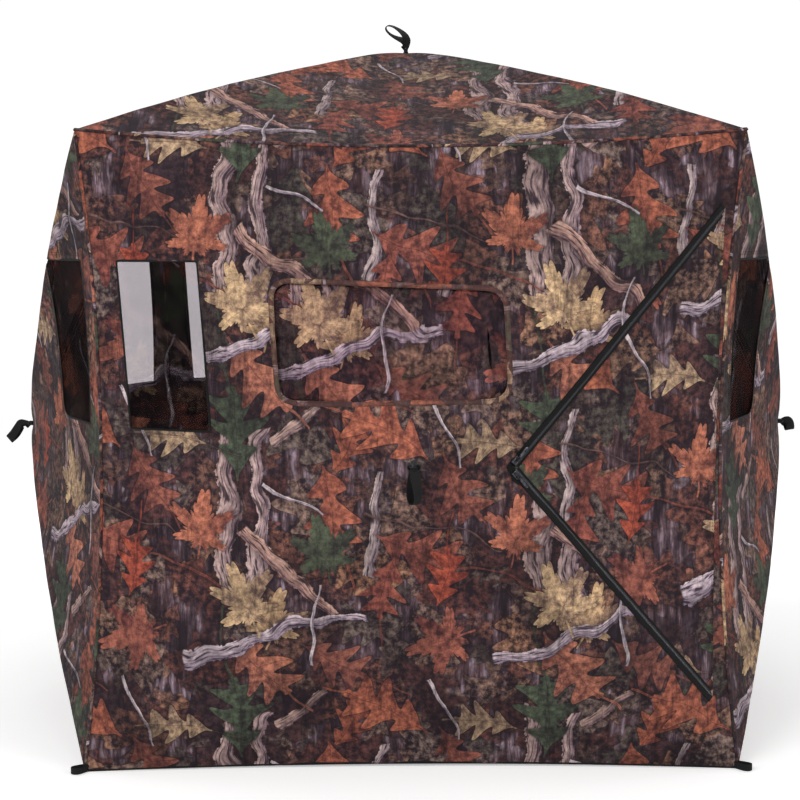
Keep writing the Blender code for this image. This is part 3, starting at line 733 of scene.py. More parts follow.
def wrinkles(panel, x, y, a, b):
    """How far the cloth stands proud of its smooth shape."""
    s = np.maximum(np.abs(a), np.abs(b))
    seed = 3.1 + 7.0 * list(PANELS).index(panel.name)
    ease = np.clip((1 - s) * 6, 0, 1)
    out = 0.0022 * soft_noise(x, y, 5.5, seed) * ease
    out += 0.0009 * soft_noise(x, y, 15.0, seed + 1.0) * ease
    for side_a in (-1, 1):
        for side_b in (-1, 1):
            dx = x - side_a * HALF
            dy = y - side_b * panel.rise
            reach = np.hypot(dx, dy)
            bearing = np.arctan2(dy, dx)
            folds = soft_noise(bearing * 2.2, reach * 0.35, 3.0, seed + 2 * side_a + side_b)
            out += 0.0060 * folds * np.exp(-reach / 0.22) * np.clip(reach / 0.05, 0, 1) * ease
    reach = np.hypot(x, y)
    bearing = np.arctan2(y, x)
    folds = soft_noise(np.cos(bearing) * 2.1, np.sin(bearing) * 2.1, 1.6, seed + 5.0)
    out += 0.0035 * folds * np.exp(-reach / 0.16) * np.clip(reach / 0.04, 0, 1)
    if panel.name == "front":
        for start, end, width, depth in FRONT_FOLDS:
            out += crease(x, y, start, end, width, -depth)
    return out


def inside(outline, x, y):
    """Whether a place is inside a closed outline."""
    hit = False
    for (x1, y1), (x2, y2) in zip(outline, outline[1:] + outline[:1]):
        if (y1 > y) != (y2 > y) and x < (x2 - x1) * (y - y1) / (y2 - y1) + x1:
            hit = not hit
    return hit


def limits(points, margin):
    xs, ys = zip(*points)
    return min(xs) - margin, max(xs) + margin, min(ys) - margin, max(ys) + margin


def faces_within(bm, points, margin):
    """The faces whose middles are within the points' own limits and a margin."""
    left, right, down, up = limits(points, margin)
    middles = [(face, face.calc_center_median()) for face in bm.faces]
    return [face for face, c in middles if left < c.x < right and down < c.y < up]


def score(bm, outline, margin):
    """Cuts the faces of a flat grid along a closed outline."""
    for (x1, y1), (x2, y2) in zip(outline, outline[1:] + outline[:1]):
        faces = faces_within(bm, ((x1, y1), (x2, y2)), margin)
        edges = {e for f in faces for e in f.edges}
        verts = {v for f in faces for v in f.verts}
        cut = {"plane_co": (x1, y1, 0), "plane_no": (y2 - y1, x1 - x2, 0)}
        bmesh.ops.bisect_plane(bm, geom=[*faces, *edges, *verts], dist=1e-6, **cut)


def split_ridges(bm):
    """Splits the square faces that the panel's diagonals cross, so that the cloth can bend over the poles."""
    for face in list(bm.faces):
        if len(face.verts) != 4:
            continue
        on_ridge = [v for v in face.verts if abs(abs(v.co.x) - abs(v.co.y)) < 1e-5]
        if len(on_ridge) != 2:
            continue
        first, second = on_ridge
        if not any(edge.other_vert(first) is second for edge in first.link_edges):
            bmesh.utils.face_split(face, first, second)


def cloth_sheet(
    name, panel, materials, count, holes=(), keep=None, depth=0.0, shift=(0.0, 0.0), folds=None
):
    """A piece of one panel's cloth as a thin closed sheet, with a map of its print."""
    bm = bmesh.new()
    bmesh.ops.create_grid(bm, x_segments=count, y_segments=count, size=1.0)
    margin = 2.4 / count
    if keep:
        near = set(faces_within(bm, keep, margin))
        bmesh.ops.delete(bm, geom=[f for f in bm.faces if f not in near], context="FACES")
    split_ridges(bm)
    for outline in (*holes, *([keep] if keep else [])):
        score(bm, outline, margin)
    doomed = []
    for face in bm.faces:
        x, y, _ = face.calc_center_median()
        if any(inside(hole, x, y) for hole in holes) or (keep and not inside(keep, x, y)):
            doomed.append(face)
    bmesh.ops.delete(bm, geom=doomed, context="FACES")
    bm.verts.ensure_lookup_table()
    a = np.array([v.co.x for v in bm.verts])
    b = np.array([v.co.y for v in bm.verts])
    x, y, z = panel.shape(a, b)
    z = z + wrinkles(panel, x, y, a, b)
    if folds:
        z = z + folds(x, y)
    place = panel.world(x, y, z - depth)
    uv = np.stack([x, y], 1) + panel.print_shift + np.array(shift)
    mesh = finish_mesh(bm, name, place, uv)
    obj = link_mesh(name, mesh, materials)
    thicken(obj, 1 if len(materials) > 1 else 0)
    return obj


def finish_mesh(bm, name, place, uv):
    """Moves the vertices to their places and writes the print map."""
    for v, p in zip(bm.verts, place):
        v.co = p
    layer = bm.loops.layers.uv.new("print")
    for face in bm.faces:
        face.smooth = True
        for loop in face.loops:
            loop[layer].uv = uv[loop.vert.index]
    mesh = bpy.data.meshes.new(name)
    bm.to_mesh(mesh)
    bm.free()
    return mesh


def link_mesh(name, mesh, materials):
    obj = bpy.data.objects.new(name, mesh)
    bpy.context.scene.collection.objects.link(obj)
    for material in materials:
        mesh.materials.append(material)
    return obj


def thicken(obj, inner_slot):
    modifier = obj.modifiers.new("thickness", "SOLIDIFY")
    modifier.thickness = CLOTH
    modifier.offset = -1.0
    modifier.material_offset = inner_slot
    modifier.use_rim = True


def fit(obj, slot, *nodes, rides=None):
    """Hides the CAD nodes that a piece stands in for and attaches it to the body that it rides on; the slot,
    what it is made of, is not used.
    """
    if nodes:
        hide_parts(*nodes)
    if rides:
        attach(obj, rides)


def follow_hub(obj, panel, depth=0.0):
    """Bakes the piece's place into its mesh and works out how far out each vertex stands, as a share of the
    hub's bulge.
    """
    centre = panel.world(0.0, 0.0, BULGE)
    edge = panel.world(0.0, 0.0, 0.0)
    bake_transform(obj)
    points = np.zeros(len(obj.data.vertices) * 3, np.float32)
    obj.data.vertices.foreach_get("co", points)
    out = panel.local(points.reshape(-1, 3))[2] + depth
    weights = np.clip(out / BULGE, 0, 1).astype(np.float32)


def smooth_outline(points, radii, steps=5):
    """A closed outline with its corners rounded off, each by its own radius."""
    rounded = []
    for k, (here, radius) in enumerate(zip(points, radii)):
        here = np.array(here, float)
        back = np.array(points[k - 1], float) - here
        on = np.array(points[(k + 1) % len(points)], float) - here
        start = here + back / np.hypot(*back) * radius
        end = here + on / np.hypot(*on) * radius
        for n in range(steps + 1):
            t = n / steps
            rounded.append(tuple((1 - t) ** 2 * start + 2 * t * (1 - t) * here + t * t * end))
    return rounded


def subdivided(points, longest=0.09):
    """A closed outline with no side longer than the limit."""
    result = []
    for (x1, y1), (x2, y2) in zip(points, points[1:] + points[:1]):
        pieces = max(1, math.ceil(math.hypot(x2 - x1, y2 - y1) / longest))
        for k in range(pieces):
            result.append((x1 + (x2 - x1) * k / pieces, y1 + (y2 - y1) * k / pieces))
    return result


def grown(points, distance):
    """A closed outline moved outward by distance, whichever way it runs."""
    area = sum(x1 * y2 - x2 * y1 for (x1, y1), (x2, y2) in zip(points, points[1:] + points[:1]))
    sign = math.copysign(1.0, area)
    moved = []
    for k, here in enumerate(points):
        here = np.array(here, float)
        d1 = here - np.array(points[k - 1], float)
        d2 = np.array(points[(k + 1) % len(points)], float) - here
        n1 = np.array((d1[1], -d1[0])) / np.hypot(*d1) * sign
        n2 = np.array((d2[1], -d2[0])) / np.hypot(*d2) * sign
        moved.append(tuple(here + (n1 + n2) * distance / (1 + n1 @ n2)))
    return moved


def to_grid(panel, points):
    """An outline in metres from the panel's middle, as (a, b) places."""
    pts = np.array(points, float)
    a, b = panel.find(pts[:, 0], pts[:, 1])
    return list(zip(a.tolist(), b.tolist()))


# ---------------------------------------------------------------- swept and turned shapes


# A stitch's length and its thread's radius, and how the thread narrows into the cloth
STITCH = 0.0045
THREAD = 0.0005
STITCH_SCALES = ((0.5, 0.5), (1, 1), (1, 1), (0.5, 0.5))


class Shape:
    """Collects grids of points into one mesh with a print map in metres."""

    def __init__(self):
        self.points = []
        self.faces = []
        self.maps = []
        self.slots = []

    def grid(self, points, uv, wrap=(False, False), caps=False, slot=0):
        rows, cols = points.shape[:2]
        base = len(self.points)
        self.points += [tuple(p) for p in points.reshape(-1, 3)]
        for i in range(rows - (not wrap[0])):
            for j in range(cols - (not wrap[1])):
                corners = ((i, j), (i + 1, j), (i + 1, j + 1), (i, j + 1))
                self.faces.append([base + (r % rows) * cols + c % cols for r, c in corners])
                self.maps.append([tuple(uv[r, c]) for r, c in corners])
                self.slots.append(slot)
        if caps:
            for i, order in ((0, range(cols)), (rows - 1, range(cols - 1, -1, -1))):
                self.faces.append([base + i * cols + c for c in order])
                self.maps.append([tuple(uv[i, c]) for c in order])
                self.slots.append(slot)

    def build(self, name, materials):
        mesh = bpy.data.meshes.new(name)
        mesh.from_pydata(self.points, [], self.faces)
        layer = mesh.uv_layers.new(name="print")
        flat = [c for face in self.maps for uv in face for c in uv]
        layer.data.foreach_set("uv", np.array(flat, np.float32))
        mesh.polygons.foreach_set("material_index", np.array(self.slots, np.int32))
        mesh.polygons.foreach_set("use_smooth", np.full(len(self.faces), True))
        bm = bmesh.new()
        bm.from_mesh(mesh)
        bmesh.ops.recalc_face_normals(bm, faces=bm.faces)
        for edge in bm.edges:
            edge.smooth = len(edge.link_faces) != 2 or edge.calc_face_angle(0.0) < math.radians(40)
        bm.to_mesh(mesh)
        bm.free()
        return link_mesh(name, mesh, materials)


def unit(vectors):
    vectors = np.asarray(vectors, float)
    return vectors / np.linalg.norm(vectors, axis=-1, keepdims=True)


def sweep(shape, path, normals, section, closed=False, scales=None, slot=0, start=(0.0, 0.0)):
    """Runs a closed cross-section along a path; its second axis points along the normals."""
    path = np.asarray(path, float)
    normals = np.broadcast_to(np.asarray(normals, float), path.shape)
    ahead = np.roll(path, -1, 0) - np.roll(path, 1, 0)
    if not closed:
        ahead[0] = path[1] - path[0]
        ahead[-1] = path[-1] - path[-2]
    ahead = unit(ahead)
    sides = unit(np.cross(ahead, normals))
    ups = np.cross(sides, ahead)
    section = np.asarray(section, float)
    scales = np.ones((len(path), 2)) if scales is None else np.asarray(scales, float)
    across = section[None, :, 0] * scales[:, :1]
    above = section[None, :, 1] * scales[:, 1:]
    rings = path[:, None] + sides[:, None] * across[..., None] + ups[:, None] * above[..., None]
    steps = np.linalg.norm(np.diff(np.vstack([path, path[:1]]), axis=0), axis=1)
    along = np.concatenate([[0.0], np.cumsum(steps)])[: len(path) + closed]
    turns = np.linalg.norm(np.diff(np.vstack([section, section[:1]]), axis=0), axis=1)
    around = np.concatenate([[0.0], np.cumsum(turns)])
    uv = np.stack(np.broadcast_arrays(along[:, None] + start[0], around[None] + start[1]), -1)
    shape.grid(rings, uv, (closed, True), caps=not closed, slot=slot)


def round_section(radius, sides=10):
    angles = 2 * math.pi * np.arange(sides) / sides
    return np.stack([radius * np.cos(angles), radius * np.sin(angles)], 1)


def ribbon_section(width, gauge, corners=5):
    """A flat band's section with rounded selvages."""
    points = []
    half = width / 2 - gauge / 2
    for side in (1, -1):
        for k in range(corners):
            t = math.pi * k / (corners - 1) - math.pi / 2
            points.append((side * (half + gauge / 2 * math.cos(t)), side * gauge / 2 * math.sin(t)))
        for k in range(1, 4):
            points.append((side * half * (1 - k / 2), side * gauge / 2))
    return points


def turned(shape, centre, axis, profile, sides=28, slot=0):
    """A solid of revolution; the profile gives (radius, height along the axis) from one end to the other."""
    axis = Vector(axis).normalized()
    across = axis.orthogonal().normalized()
    other = axis.cross(across)
    rings = []
    for radius, height in profile:
        ring = []
        for k in range(sides):
            t = 2 * math.pi * k / sides
            out = across * math.cos(t) + other * math.sin(t)
            ring.append(Vector(centre) + axis * height + out * radius)
        rings.append(ring)
    points = np.array(rings, float)
    uv = np.zeros((len(profile), sides + 1, 2))
    uv[..., 0] = np.array([p[1] for p in profile])[:, None]
    uv[..., 1] = np.arange(sides + 1)[None] * 2 * math.pi * max(p[0] for p in profile) / sides
    shape.grid(points, uv, (False, True), caps=True, slot=slot)


def brick(shape, centre, axes, size, chamfer=0.0008, slot=0):
    """A block with chamfered edges; axes are its three directions."""
    axes = [np.array(a, float) for a in axes]
    half = np.array(size, float) / 2
    rings = []
    profile = ((-1, 1), (-1, 0), (1, 0), (1, 1))
    corner = [(1, 1), (-1, 1), (-1, -1), (1, -1)]
    for end, cut in profile:
        ring = []
        for sx, sy in corner:
            shrink = chamfer * cut
            wide, deep = half[0] - shrink, half[1] - shrink
            flats = ((half[0] - chamfer - shrink, deep), (wide, half[1] - chamfer - shrink))
            for fx, fy in flats[::-1] if sx * sy > 0 else flats:
                z = end * (half[2] - chamfer * (1 - cut))
                ring.append(np.array(centre) + axes[0] * sx * fx + axes[1] * sy * fy + axes[2] * z)
        rings.append(ring)
    points = np.array(rings, float)
    uv = np.zeros((4, 9, 2))
    uv[..., 1] = np.linspace(0, 2 * (size[0] + size[1]), 9)[None]
    uv[..., 0] = np.array([0, chamfer, size[2] - chamfer, size[2]])[:, None]
    shape.grid(points, uv, (False, True), caps=True, slot=slot)


def stitches(shape, path, normals, pitch=0.0075, lift=0.0, slot=0):
    """A row of sewn stitches along a path, each a short plump thread."""
    path = np.asarray(path, float)
    normals = np.broadcast_to(np.asarray(normals, float), path.shape)
    steps = np.linalg.norm(np.diff(path, axis=0), axis=1)
    along = np.concatenate([[0.0], np.cumsum(steps)])
    section = round_section(THREAD, 5)
    for k in range(int(along[-1] / pitch)):
        marks = (k + 0.5) * pitch + STITCH * np.linspace(-0.5, 0.5, 4)
        place = np.stack([np.interp(marks, along, path[:, c]) for c in range(3)], 1)
        out = unit(np.stack([np.interp(marks, along, normals[:, c]) for c in range(3)], 1))
        rise = np.array([-0.6, 0.7, 0.7, -0.6])[:, None] * THREAD
        sweep(shape, place + out * (rise + lift), out, section, scales=STITCH_SCALES, slot=slot)


# ---------------------------------------------------------------- openings in the cloth

# Mesh windows, as in the CAD model: distances from the wall's middle and heights
SCREEN_TOP = 1.147
SCREEN_BOTTOM = 0.776
SCREEN_OUTER = (0.649, 0.624)
SCREEN_INNER = {"front": (0.463, 0.440), "side": (0.430, 0.412)}
SCREENS = {
    ("front", -1): "front_left",
    ("right", -1): "right_front",
    ("right", 1): "right_rear",
    ("rear", -1): "rear_right",
    ("rear", 1): "rear_left",
    ("left", -1): "left_rear",
    ("left", 1): "left_front",
}

# Front window and door, as in the CAD model
WINDOW = ((-0.306, 1.107), (-0.289, 0.844), (0.206, 0.852), (0.201, 1.086))
WINDOW_ROUND = 0.045
PIPING = 0.014
ZIP_UPPER = (0.698, 1.270)
ZIP_VERTEX = (0.214, 0.707)
ZIP_LOWER = (0.682, 0.159)
ZIP_WIDTH = 0.014


def screen_outline(panel, side):
    """The outline of a side mesh window in metres from the wall's middle, its lower inner corner rounded."""
    inner = SCREEN_INNER["front" if panel in ("front", "rear") else "side"]
    corners = [
        (side * SCREEN_OUTER[1], SCREEN_BOTTOM - MID),
        (side * inner[1], SCREEN_BOTTOM - MID),
        (side * inner[0], SCREEN_TOP - MID),
        (side * SCREEN_OUTER[0], SCREEN_TOP - MID),
    ]
    radii = (0.006, 0.006 if panel == "front" else 0.05, 0.006, 0.006)
    return subdivided(smooth_outline(corners, radii, 4))


def window_outline():
    corners = [(x, z - MID) for x, z in WINDOW]
    return subdivided(smooth_outline(corners, [WINDOW_ROUND] * 4), 0.03)


def circle(radius, sides=16):
    turns = [2 * math.pi * k / sides for k in range(sides)]
    return [(radius * math.cos(t), radius * math.sin(t)) for t in turns]


def on_cloth(panel, points):
    """World places and outward directions on the smooth cloth for places in metres from its middle."""
    pts = np.asarray(points, float)
    step = 0.002

    def at(x, y):
        a, b = panel.find(x, y)
        fx, fy, fz = panel.shape(a, b)
        return panel.world(fx, fy, fz)

    here = at(pts[:, 0], pts[:, 1])
    right = at(pts[:, 0] + step, pts[:, 1]) - at(pts[:, 0] - step, pts[:, 1])
    up = at(pts[:, 0], pts[:, 1] + step) - at(pts[:, 0], pts[:, 1] - step)
    return here, unit(np.cross(right, up))


def surface_relief(panel, points):
    """How proud the wrinkled cloth stands at places in metres from the panel's middle."""
    pts = np.asarray(points, float)
    a, b = panel.find(pts[:, 0], pts[:, 1])
    return wrinkles(panel, pts[:, 0], pts[:, 1], a, b)


def laid(panel, line, lift=0.0):
    """A line on the wrinkled cloth, lifted off it, and the outward directions along it."""
    path, out = on_cloth(panel, line)
    return path + out * (surface_relief(panel, line)[:, None] + lift), out


class Door:
    """The flat triangle of the door: X from the zip's vertex to the hinge, Y up the hinge, Z outward."""

    def __init__(self):
        panel = PANELS["front"]
        flat = np.array([(x, z - MID) for x, z in (ZIP_UPPER, ZIP_VERTEX, ZIP_LOWER)])
        (upper, vertex, lower), _ = on_cloth(panel, flat)
        self.y = unit(upper - lower)
        reach = (upper - vertex) - (upper - vertex) @ self.y * self.y
        self.width = float(np.linalg.norm(reach))
        self.x = reach / self.width
        self.z = np.cross(self.x, self.y)
        self.origin = vertex
        self.upper = np.array((self.width, (upper - vertex) @ self.y))
        self.lower = np.array((self.width, (lower - vertex) @ self.y))

    def world(self, x, y, z=0.0):
        x, y, z = np.broadcast_arrays(*(np.asarray(v, float) for v in (x, y, z)))
        return self.origin + x[..., None] * self.x + y[..., None] * self.y + z[..., None] * self.z

    def outline(self, inset, right):
        """The triangle with its zip sides moved inward by inset and its right side at x = right."""
        up = self.upper / np.hypot(*self.upper)
        down = self.lower / np.hypot(*self.lower)
        above = np.array((up[1], -up[0]))
        below = np.array((-down[1], down[0]))
        spread = above[0] * below[1] - above[1] * below[0]
        apex = np.array((below[1] - above[1], above[0] - below[0])) * inset / spread
        low = (inset - right * below[0]) / below[1]
        high = (inset - right * above[0]) / above[1]
        return [tuple(apex), (right, low), (right, high)]

    def on_panel(self, points):
        """Places in the triangle's plane, seen straight on, as places on the front wall."""
        spots = self.world(np.array([p[0] for p in points]), np.array([p[1] for p in points]))
        x, y, _ = PANELS["front"].local(spots)
        return list(zip(x.tolist(), y.tolist()))


DOOR = Door()


# ---------------------------------------------------------------- pieces of cloth


def hole_outlines(panel):
    """Everything cut out of a panel's cloth, as (a, b) outlines."""
    outlines = [to_grid(panel, circle(0.0085))]
    for (name, side), _ in SCREENS.items():
        if name == panel.name:
            outlines.append(to_grid(panel, screen_outline(name, side)))
    if panel.name == "front":
        outlines.append(to_grid(panel, window_outline()))
        opening = DOOR.outline(-0.005, DOOR.width - 0.022)
        outlines.append(to_grid(panel, subdivided(DOOR.on_panel(opening), 0.05)))
    return outlines


def make_walls(looks):
    for name, panel in PANELS.items():
        count = 240 if name == "front" else 160
        node = "roof_panel" if name == "roof" else f"{name}_wall"
        both_sides = [looks["camo"], looks["lining"]]
        cloth = cloth_sheet(f"{node}_cloth", panel, both_sides, count, hole_outlines(panel))
        fit(cloth, "camo_fabric", node, f"{name}_hub_patch")
        follow_hub(cloth, panel)


# Side mesh panes: how far they are behind the cloth, and how far their print is moved
PANE_DEPTH = 0.0025
PANE_SHIFT = (0.31, 0.12)


def make_screens(looks):
    """Side mesh windows: a mesh pane behind the cloth and a thin dark tape round the cut edge."""
    for (name, side), place in SCREENS.items():
        panel = PANELS[name]
        outline = screen_outline(name, side)
        pane = cloth_sheet(
            f"{place}_mesh_pane",
            panel,
            [looks["mesh"]],
            120,
            keep=to_grid(panel, grown(outline, 0.008)),
            depth=PANE_DEPTH,
            shift=PANE_SHIFT,
        )
        fit(pane, "window_mesh", f"{place}_window_mesh")
        follow_hub(pane, panel, PANE_DEPTH)
        edge = Shape()
        path, out = on_cloth(panel, np.array(subdivided(outline, 0.02)))
        sweep(edge, path, out, ribbon_section(0.005, 0.0014), closed=True)
        tape = edge.build(f"{place}_mesh_edge_tape", [looks["tape"]])
        fit(tape, "black_webbing")
        follow_hub(tape, panel)
        lines = Shape()
        for distance in (0.011, 0.016):
            row = subdivided(grown(outline, distance), 0.012)
            stitches(lines, *laid(panel, row + row[:1]), lift=0.0004)
        thread = lines.build(f"{place}_mesh_hem_stitching", [looks["thread"]])
        fit(thread, "camo_fabric")
        follow_hub(thread, panel)


# How the window's inside flap hangs, in metres from its own middle
FLAP_FOLDS = (
    ((-0.20, 0.13), (-0.13, -0.02), 0.016, 0.0050),
    ((-0.25, 0.10), (-0.22, -0.10), 0.012, 0.0040),
    ((0.20, 0.11), (0.185, -0.12), 0.010, 0.0055),
    ((0.10, -0.10), (0.22, -0.06), 0.012, 0.0035),
    ((-0.10, -0.11), (0.08, -0.115), 0.009, 0.0035),
)


# The gap where the flap is not quite closed, in metres from its own place
FLAP_SLIT = (
    (0.0018, 0.045), (-0.0016, 0.012), (-0.0022, -0.030), (0.0012, -0.046), (0.0040, -0.02), (0.0036, 0.03),
)


def flap_folds(x, y):
    middle = np.mean(np.array(WINDOW), axis=0) - np.array((0.0, MID))
    depth = 0.0018 * soft_noise(x, y, 9.0, 41.0)
    for start, end, width, rise in FLAP_FOLDS:
        depth = depth + crease(x - middle[0], y - middle[1], start, end, width, rise)
    return depth


def make_front_window(looks):
    panel = PANELS["front"]
    outline = window_outline()
    piping = Shape()
    path, out = laid(panel, subdivided(outline, 0.012), -0.0002)
    sweep(piping, path, out, ribbon_section(PIPING * 0.86, 0.0042), closed=True)
    for distance in (-0.0036, 0.0036):
        row = subdivided(grown(outline, distance), 0.012)
        stitches(piping, *laid(panel, row + row[:1]), lift=0.0021, slot=1)
    band = piping.build("front_window_piping", [looks["piping"], looks["thread"]])
    fit(band, "binding", "front_window_binding", rides="front_window")
    pane = cloth_sheet(
        "front_window_mesh_pane",
        panel,
        [looks["mesh_thin"]],
        200,
        keep=to_grid(panel, grown(outline, 0.002)),
        depth=0.0022,
        shift=PANE_SHIFT,
    )
    fit(pane, "window_mesh", "front_window_mesh", rides="front_window")
    corners = [(x, z - MID) for x, z in WINDOW]
    corners[0] = (corners[0][0] + 0.004, corners[0][1] - 0.008)
    spread = grown(smooth_outline(corners, [WINDOW_ROUND * 1.6] * 4), 0.009)
    low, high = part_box("front_window_cover")
    middle = (low.x + 0.895 * (high.x - low.x), low.z + 0.45 * (high.z - low.z) - MID)
    slit = [(middle[0] + x - 0.08 * y, middle[1] + y) for x, y in FLAP_SLIT]
    flap = cloth_sheet(
        "front_window_flap",
        panel,
        [looks["camo"], looks["lining"]],
        260,
        holes=[to_grid(panel, slit)],
        keep=to_grid(panel, subdivided(spread, 0.03)),
        depth=0.0105,
        shift=(-0.164, 0.034),
        folds=flap_folds,
    )
    fit(flap, "camo_fabric", "front_window_cover", rides="front_window_cover")
    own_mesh(flap)


def make_door(looks):
    panel = PANELS["front"]
    flap_outline = DOOR.on_panel(DOOR.outline(0.0012, DOOR.width - 0.006))
    cloth = cloth_sheet(
        "door_flap_cloth",
        panel,
        [looks["camo"], looks["lining"]],
        240,
        keep=to_grid(panel, subdivided(flap_outline, 0.05)),
        depth=-0.0016,
        shift=(0.262, -0.128),
    )
    fit(cloth, "camo_fabric", "door_panel")
    hang_from_hinge(cloth)
    edge = Shape()
    for end in (DOOR.upper, DOOR.lower):
        side = zip_line(end, -0.0048, 0.010, 0.962)
        sweep(edge, *laid(panel, side, 0.0022), ribbon_section(0.0080, 0.0016))
        seam = zip_line(end, -0.0078, 0.014, 0.960)
        stitches(edge, *laid(panel, seam), lift=0.0031, slot=1)
    tape = edge.build("door_flap_edge_tape", [looks["tape"], looks["thread_black"]])
    fit(tape, "black_webbing")
    hang_from_hinge(tape)
    hinge = Shape()
    x = DOOR.width - 0.010
    ends = DOOR.on_panel([(x, DOOR.lower[1] * 0.975), (x, DOOR.upper[1] * 0.975)])
    for k in (-0.0022, 0.0022):
        seam = np.array(subdivided_line(ends, 0.02)) + np.array((k, 0.0))
        stitches(hinge, *laid(panel, seam), lift=0.0019)
    row = hinge.build("door_hinge_stitching", [looks["thread"]])
    fit(row, "camo_fabric", rides="door_surround")


def hang_from_hinge(obj):
    """Bakes the flap piece's place into its mesh; its hinge line and free side are worked out but not used.
    """
    edge = DOOR.world(DOOR.width - 0.02, 0.0)
    free = DOOR.world(DOOR.width - 0.13, 0.0)
    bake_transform(obj)


def zip_line(end, offset, start, stop, steps=40):
    """Places on the front wall along one side of the zip, offset outward from the door in metres."""
    along = end / np.hypot(*end)
    out = np.array((-along[1], along[0])) * (1 if end[1] > 0 else -1)
    share = np.linspace(start, stop, steps)[:, None]
    flat = end * share + out * offset
    return np.array(DOOR.on_panel(flat))


def subdivided_line(points, longest):
    pieces = []
    for (x1, y1), (x2, y2) in zip(points, points[1:]):
        count = max(1, math.ceil(math.hypot(x2 - x1, y2 - y1) / longest))
        pieces += [(x1 + (x2 - x1) * k / count, y1 + (y2 - y1) * k / count) for k in range(count)]
    return pieces + [points[-1]]


def make_zip(looks):
    """The zip's outer tape, its coil, the stitching and the patch over the vertex."""
    panel = PANELS["front"]
    shape = Shape()
    apex_side = ZIP_WIDTH / 2
    up = zip_line(DOOR.upper, apex_side, 0.0, 0.985)[::-1]
    down = zip_line(DOOR.lower, apex_side, 0.0, 0.985)
    apex = np.array(DOOR.on_panel([DOOR.outline(-apex_side, DOOR.width)[0]]))
    line = np.vstack([up, apex, down])
    sweep(shape, *laid(panel, line, 0.0016), ribbon_section(ZIP_WIDTH, 0.0022))
    for offset in (apex_side - 0.0045, apex_side + 0.0045):
        for end in (DOOR.upper, DOOR.lower):
            seam = zip_line(end, offset, 0.012, 0.98, 60)
            stitches(shape, *laid(panel, seam), lift=0.0027, slot=1)
    patch = [(-0.004, 0.003), (-0.003, -0.012), (0.004, -0.024), (0.014, -0.034)]
    path, out = laid(panel, DOOR.on_panel(patch), 0.0030)
    tapering = [(0.9, 1), (1, 1), (1, 1), (0.7, 1)]
    sweep(shape, path, out, ribbon_section(0.0150, 0.0022), scales=tapering)
    tape = shape.build("door_zip_tape_outer", [looks["tape"], looks["thread_black"]])
    fit(tape, "black_webbing", "door_zip_tape", rides="door_surround")
    coil = Shape()
    core, cord = [(x * 1.7, y) for x, y in round_section(0.0015, 8)], round_section(0.0007, 6)
    for end in (DOOR.upper, DOOR.lower):
        for offset, section in ((0.0, core), (-0.0026, cord), (0.0026, cord)):
            seam = zip_line(end, offset, 0.006, 0.975, 60)
            sweep(coil, *laid(panel, seam, 0.0026), section)
    teeth = coil.build("door_zip_coil", [looks["teeth"]])
    fit(teeth, "black_plastic", rides="door_surround")


# A slider's pull: distances along it and its widths there as shares of the full one
PULL_WIDTHS = (
    (0.0, 0.5), (0.003, 0.85), (0.008, 1.0), (0.018, 1.05), (0.024, 1.0), (0.027, 0.7), (0.028, 0.35),
)


def make_slider(name, joint, looks):
    """A zip slider: two plates and a bridge over the coil, with a ribbed pull hanging along the tape."""
    low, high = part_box(name)
    along = np.array(JOINTS[joint]["axis"], float)
    z = DOOR.z
    across = np.cross(z, along)
    middle = np.array((low + high) / 2)
    middle = middle - z * (middle @ z - DOOR.origin @ z - 0.0026)
    start = middle - along * 0.0115
    metal = Shape()
    frame_axes = (across, z, along)
    for height in (0.0010, 0.0050):
        brick(metal, start + z * height, frame_axes, (0.0122, 0.0018, 0.0200), 0.0008)
    for side in (-1, 1):
        spot = start + z * 0.0030 + across * side * 0.0053
        brick(metal, spot, frame_axes, (0.0014, 0.0034, 0.0200), 0.0005)
    bridge = []
    for t in np.linspace(0, math.pi, 9):
        bridge.append(start + along * (-0.0062 * math.cos(t)) + z * (0.0056 + 0.0032 * math.sin(t)))
    sweep(metal, bridge, across, ribbon_section(0.0016, 0.0036))
    ring_centre = start + along * 0.0066 + z * 0.0080
    ring = [
        ring_centre + across * 0.0030 * math.cos(t) + along * 0.0044 * math.sin(t)
        for t in np.linspace(0, 2 * math.pi, 20, endpoint=False)
    ]
    sweep(metal, ring, z, round_section(0.0008, 8), closed=True)
    pull_start = ring_centre + along * 0.0030
    path = [pull_start + along * d - z * 0.0008 * (d / 0.028) for d, _ in PULL_WIDTHS]
    sweep(metal, path, z, ribbon_section(0.0070, 0.0016), scales=[(w, 1.0) for _, w in PULL_WIDTHS])
    for d in (0.011, 0.014, 0.017, 0.020):
        at = pull_start + along * d + z * 0.0003
        rib = [at + across * x for x in np.linspace(-0.0019, 0.0019, 5)]
        sweep(metal, rib, z, round_section(0.0004, 6))
    slider = metal.build(f"{name}_detail", [looks["zip_metal"]])
    fit(slider, "zip_metal", name, rides=name)


# ---------------------------------------------------------------- seams, hem and loops


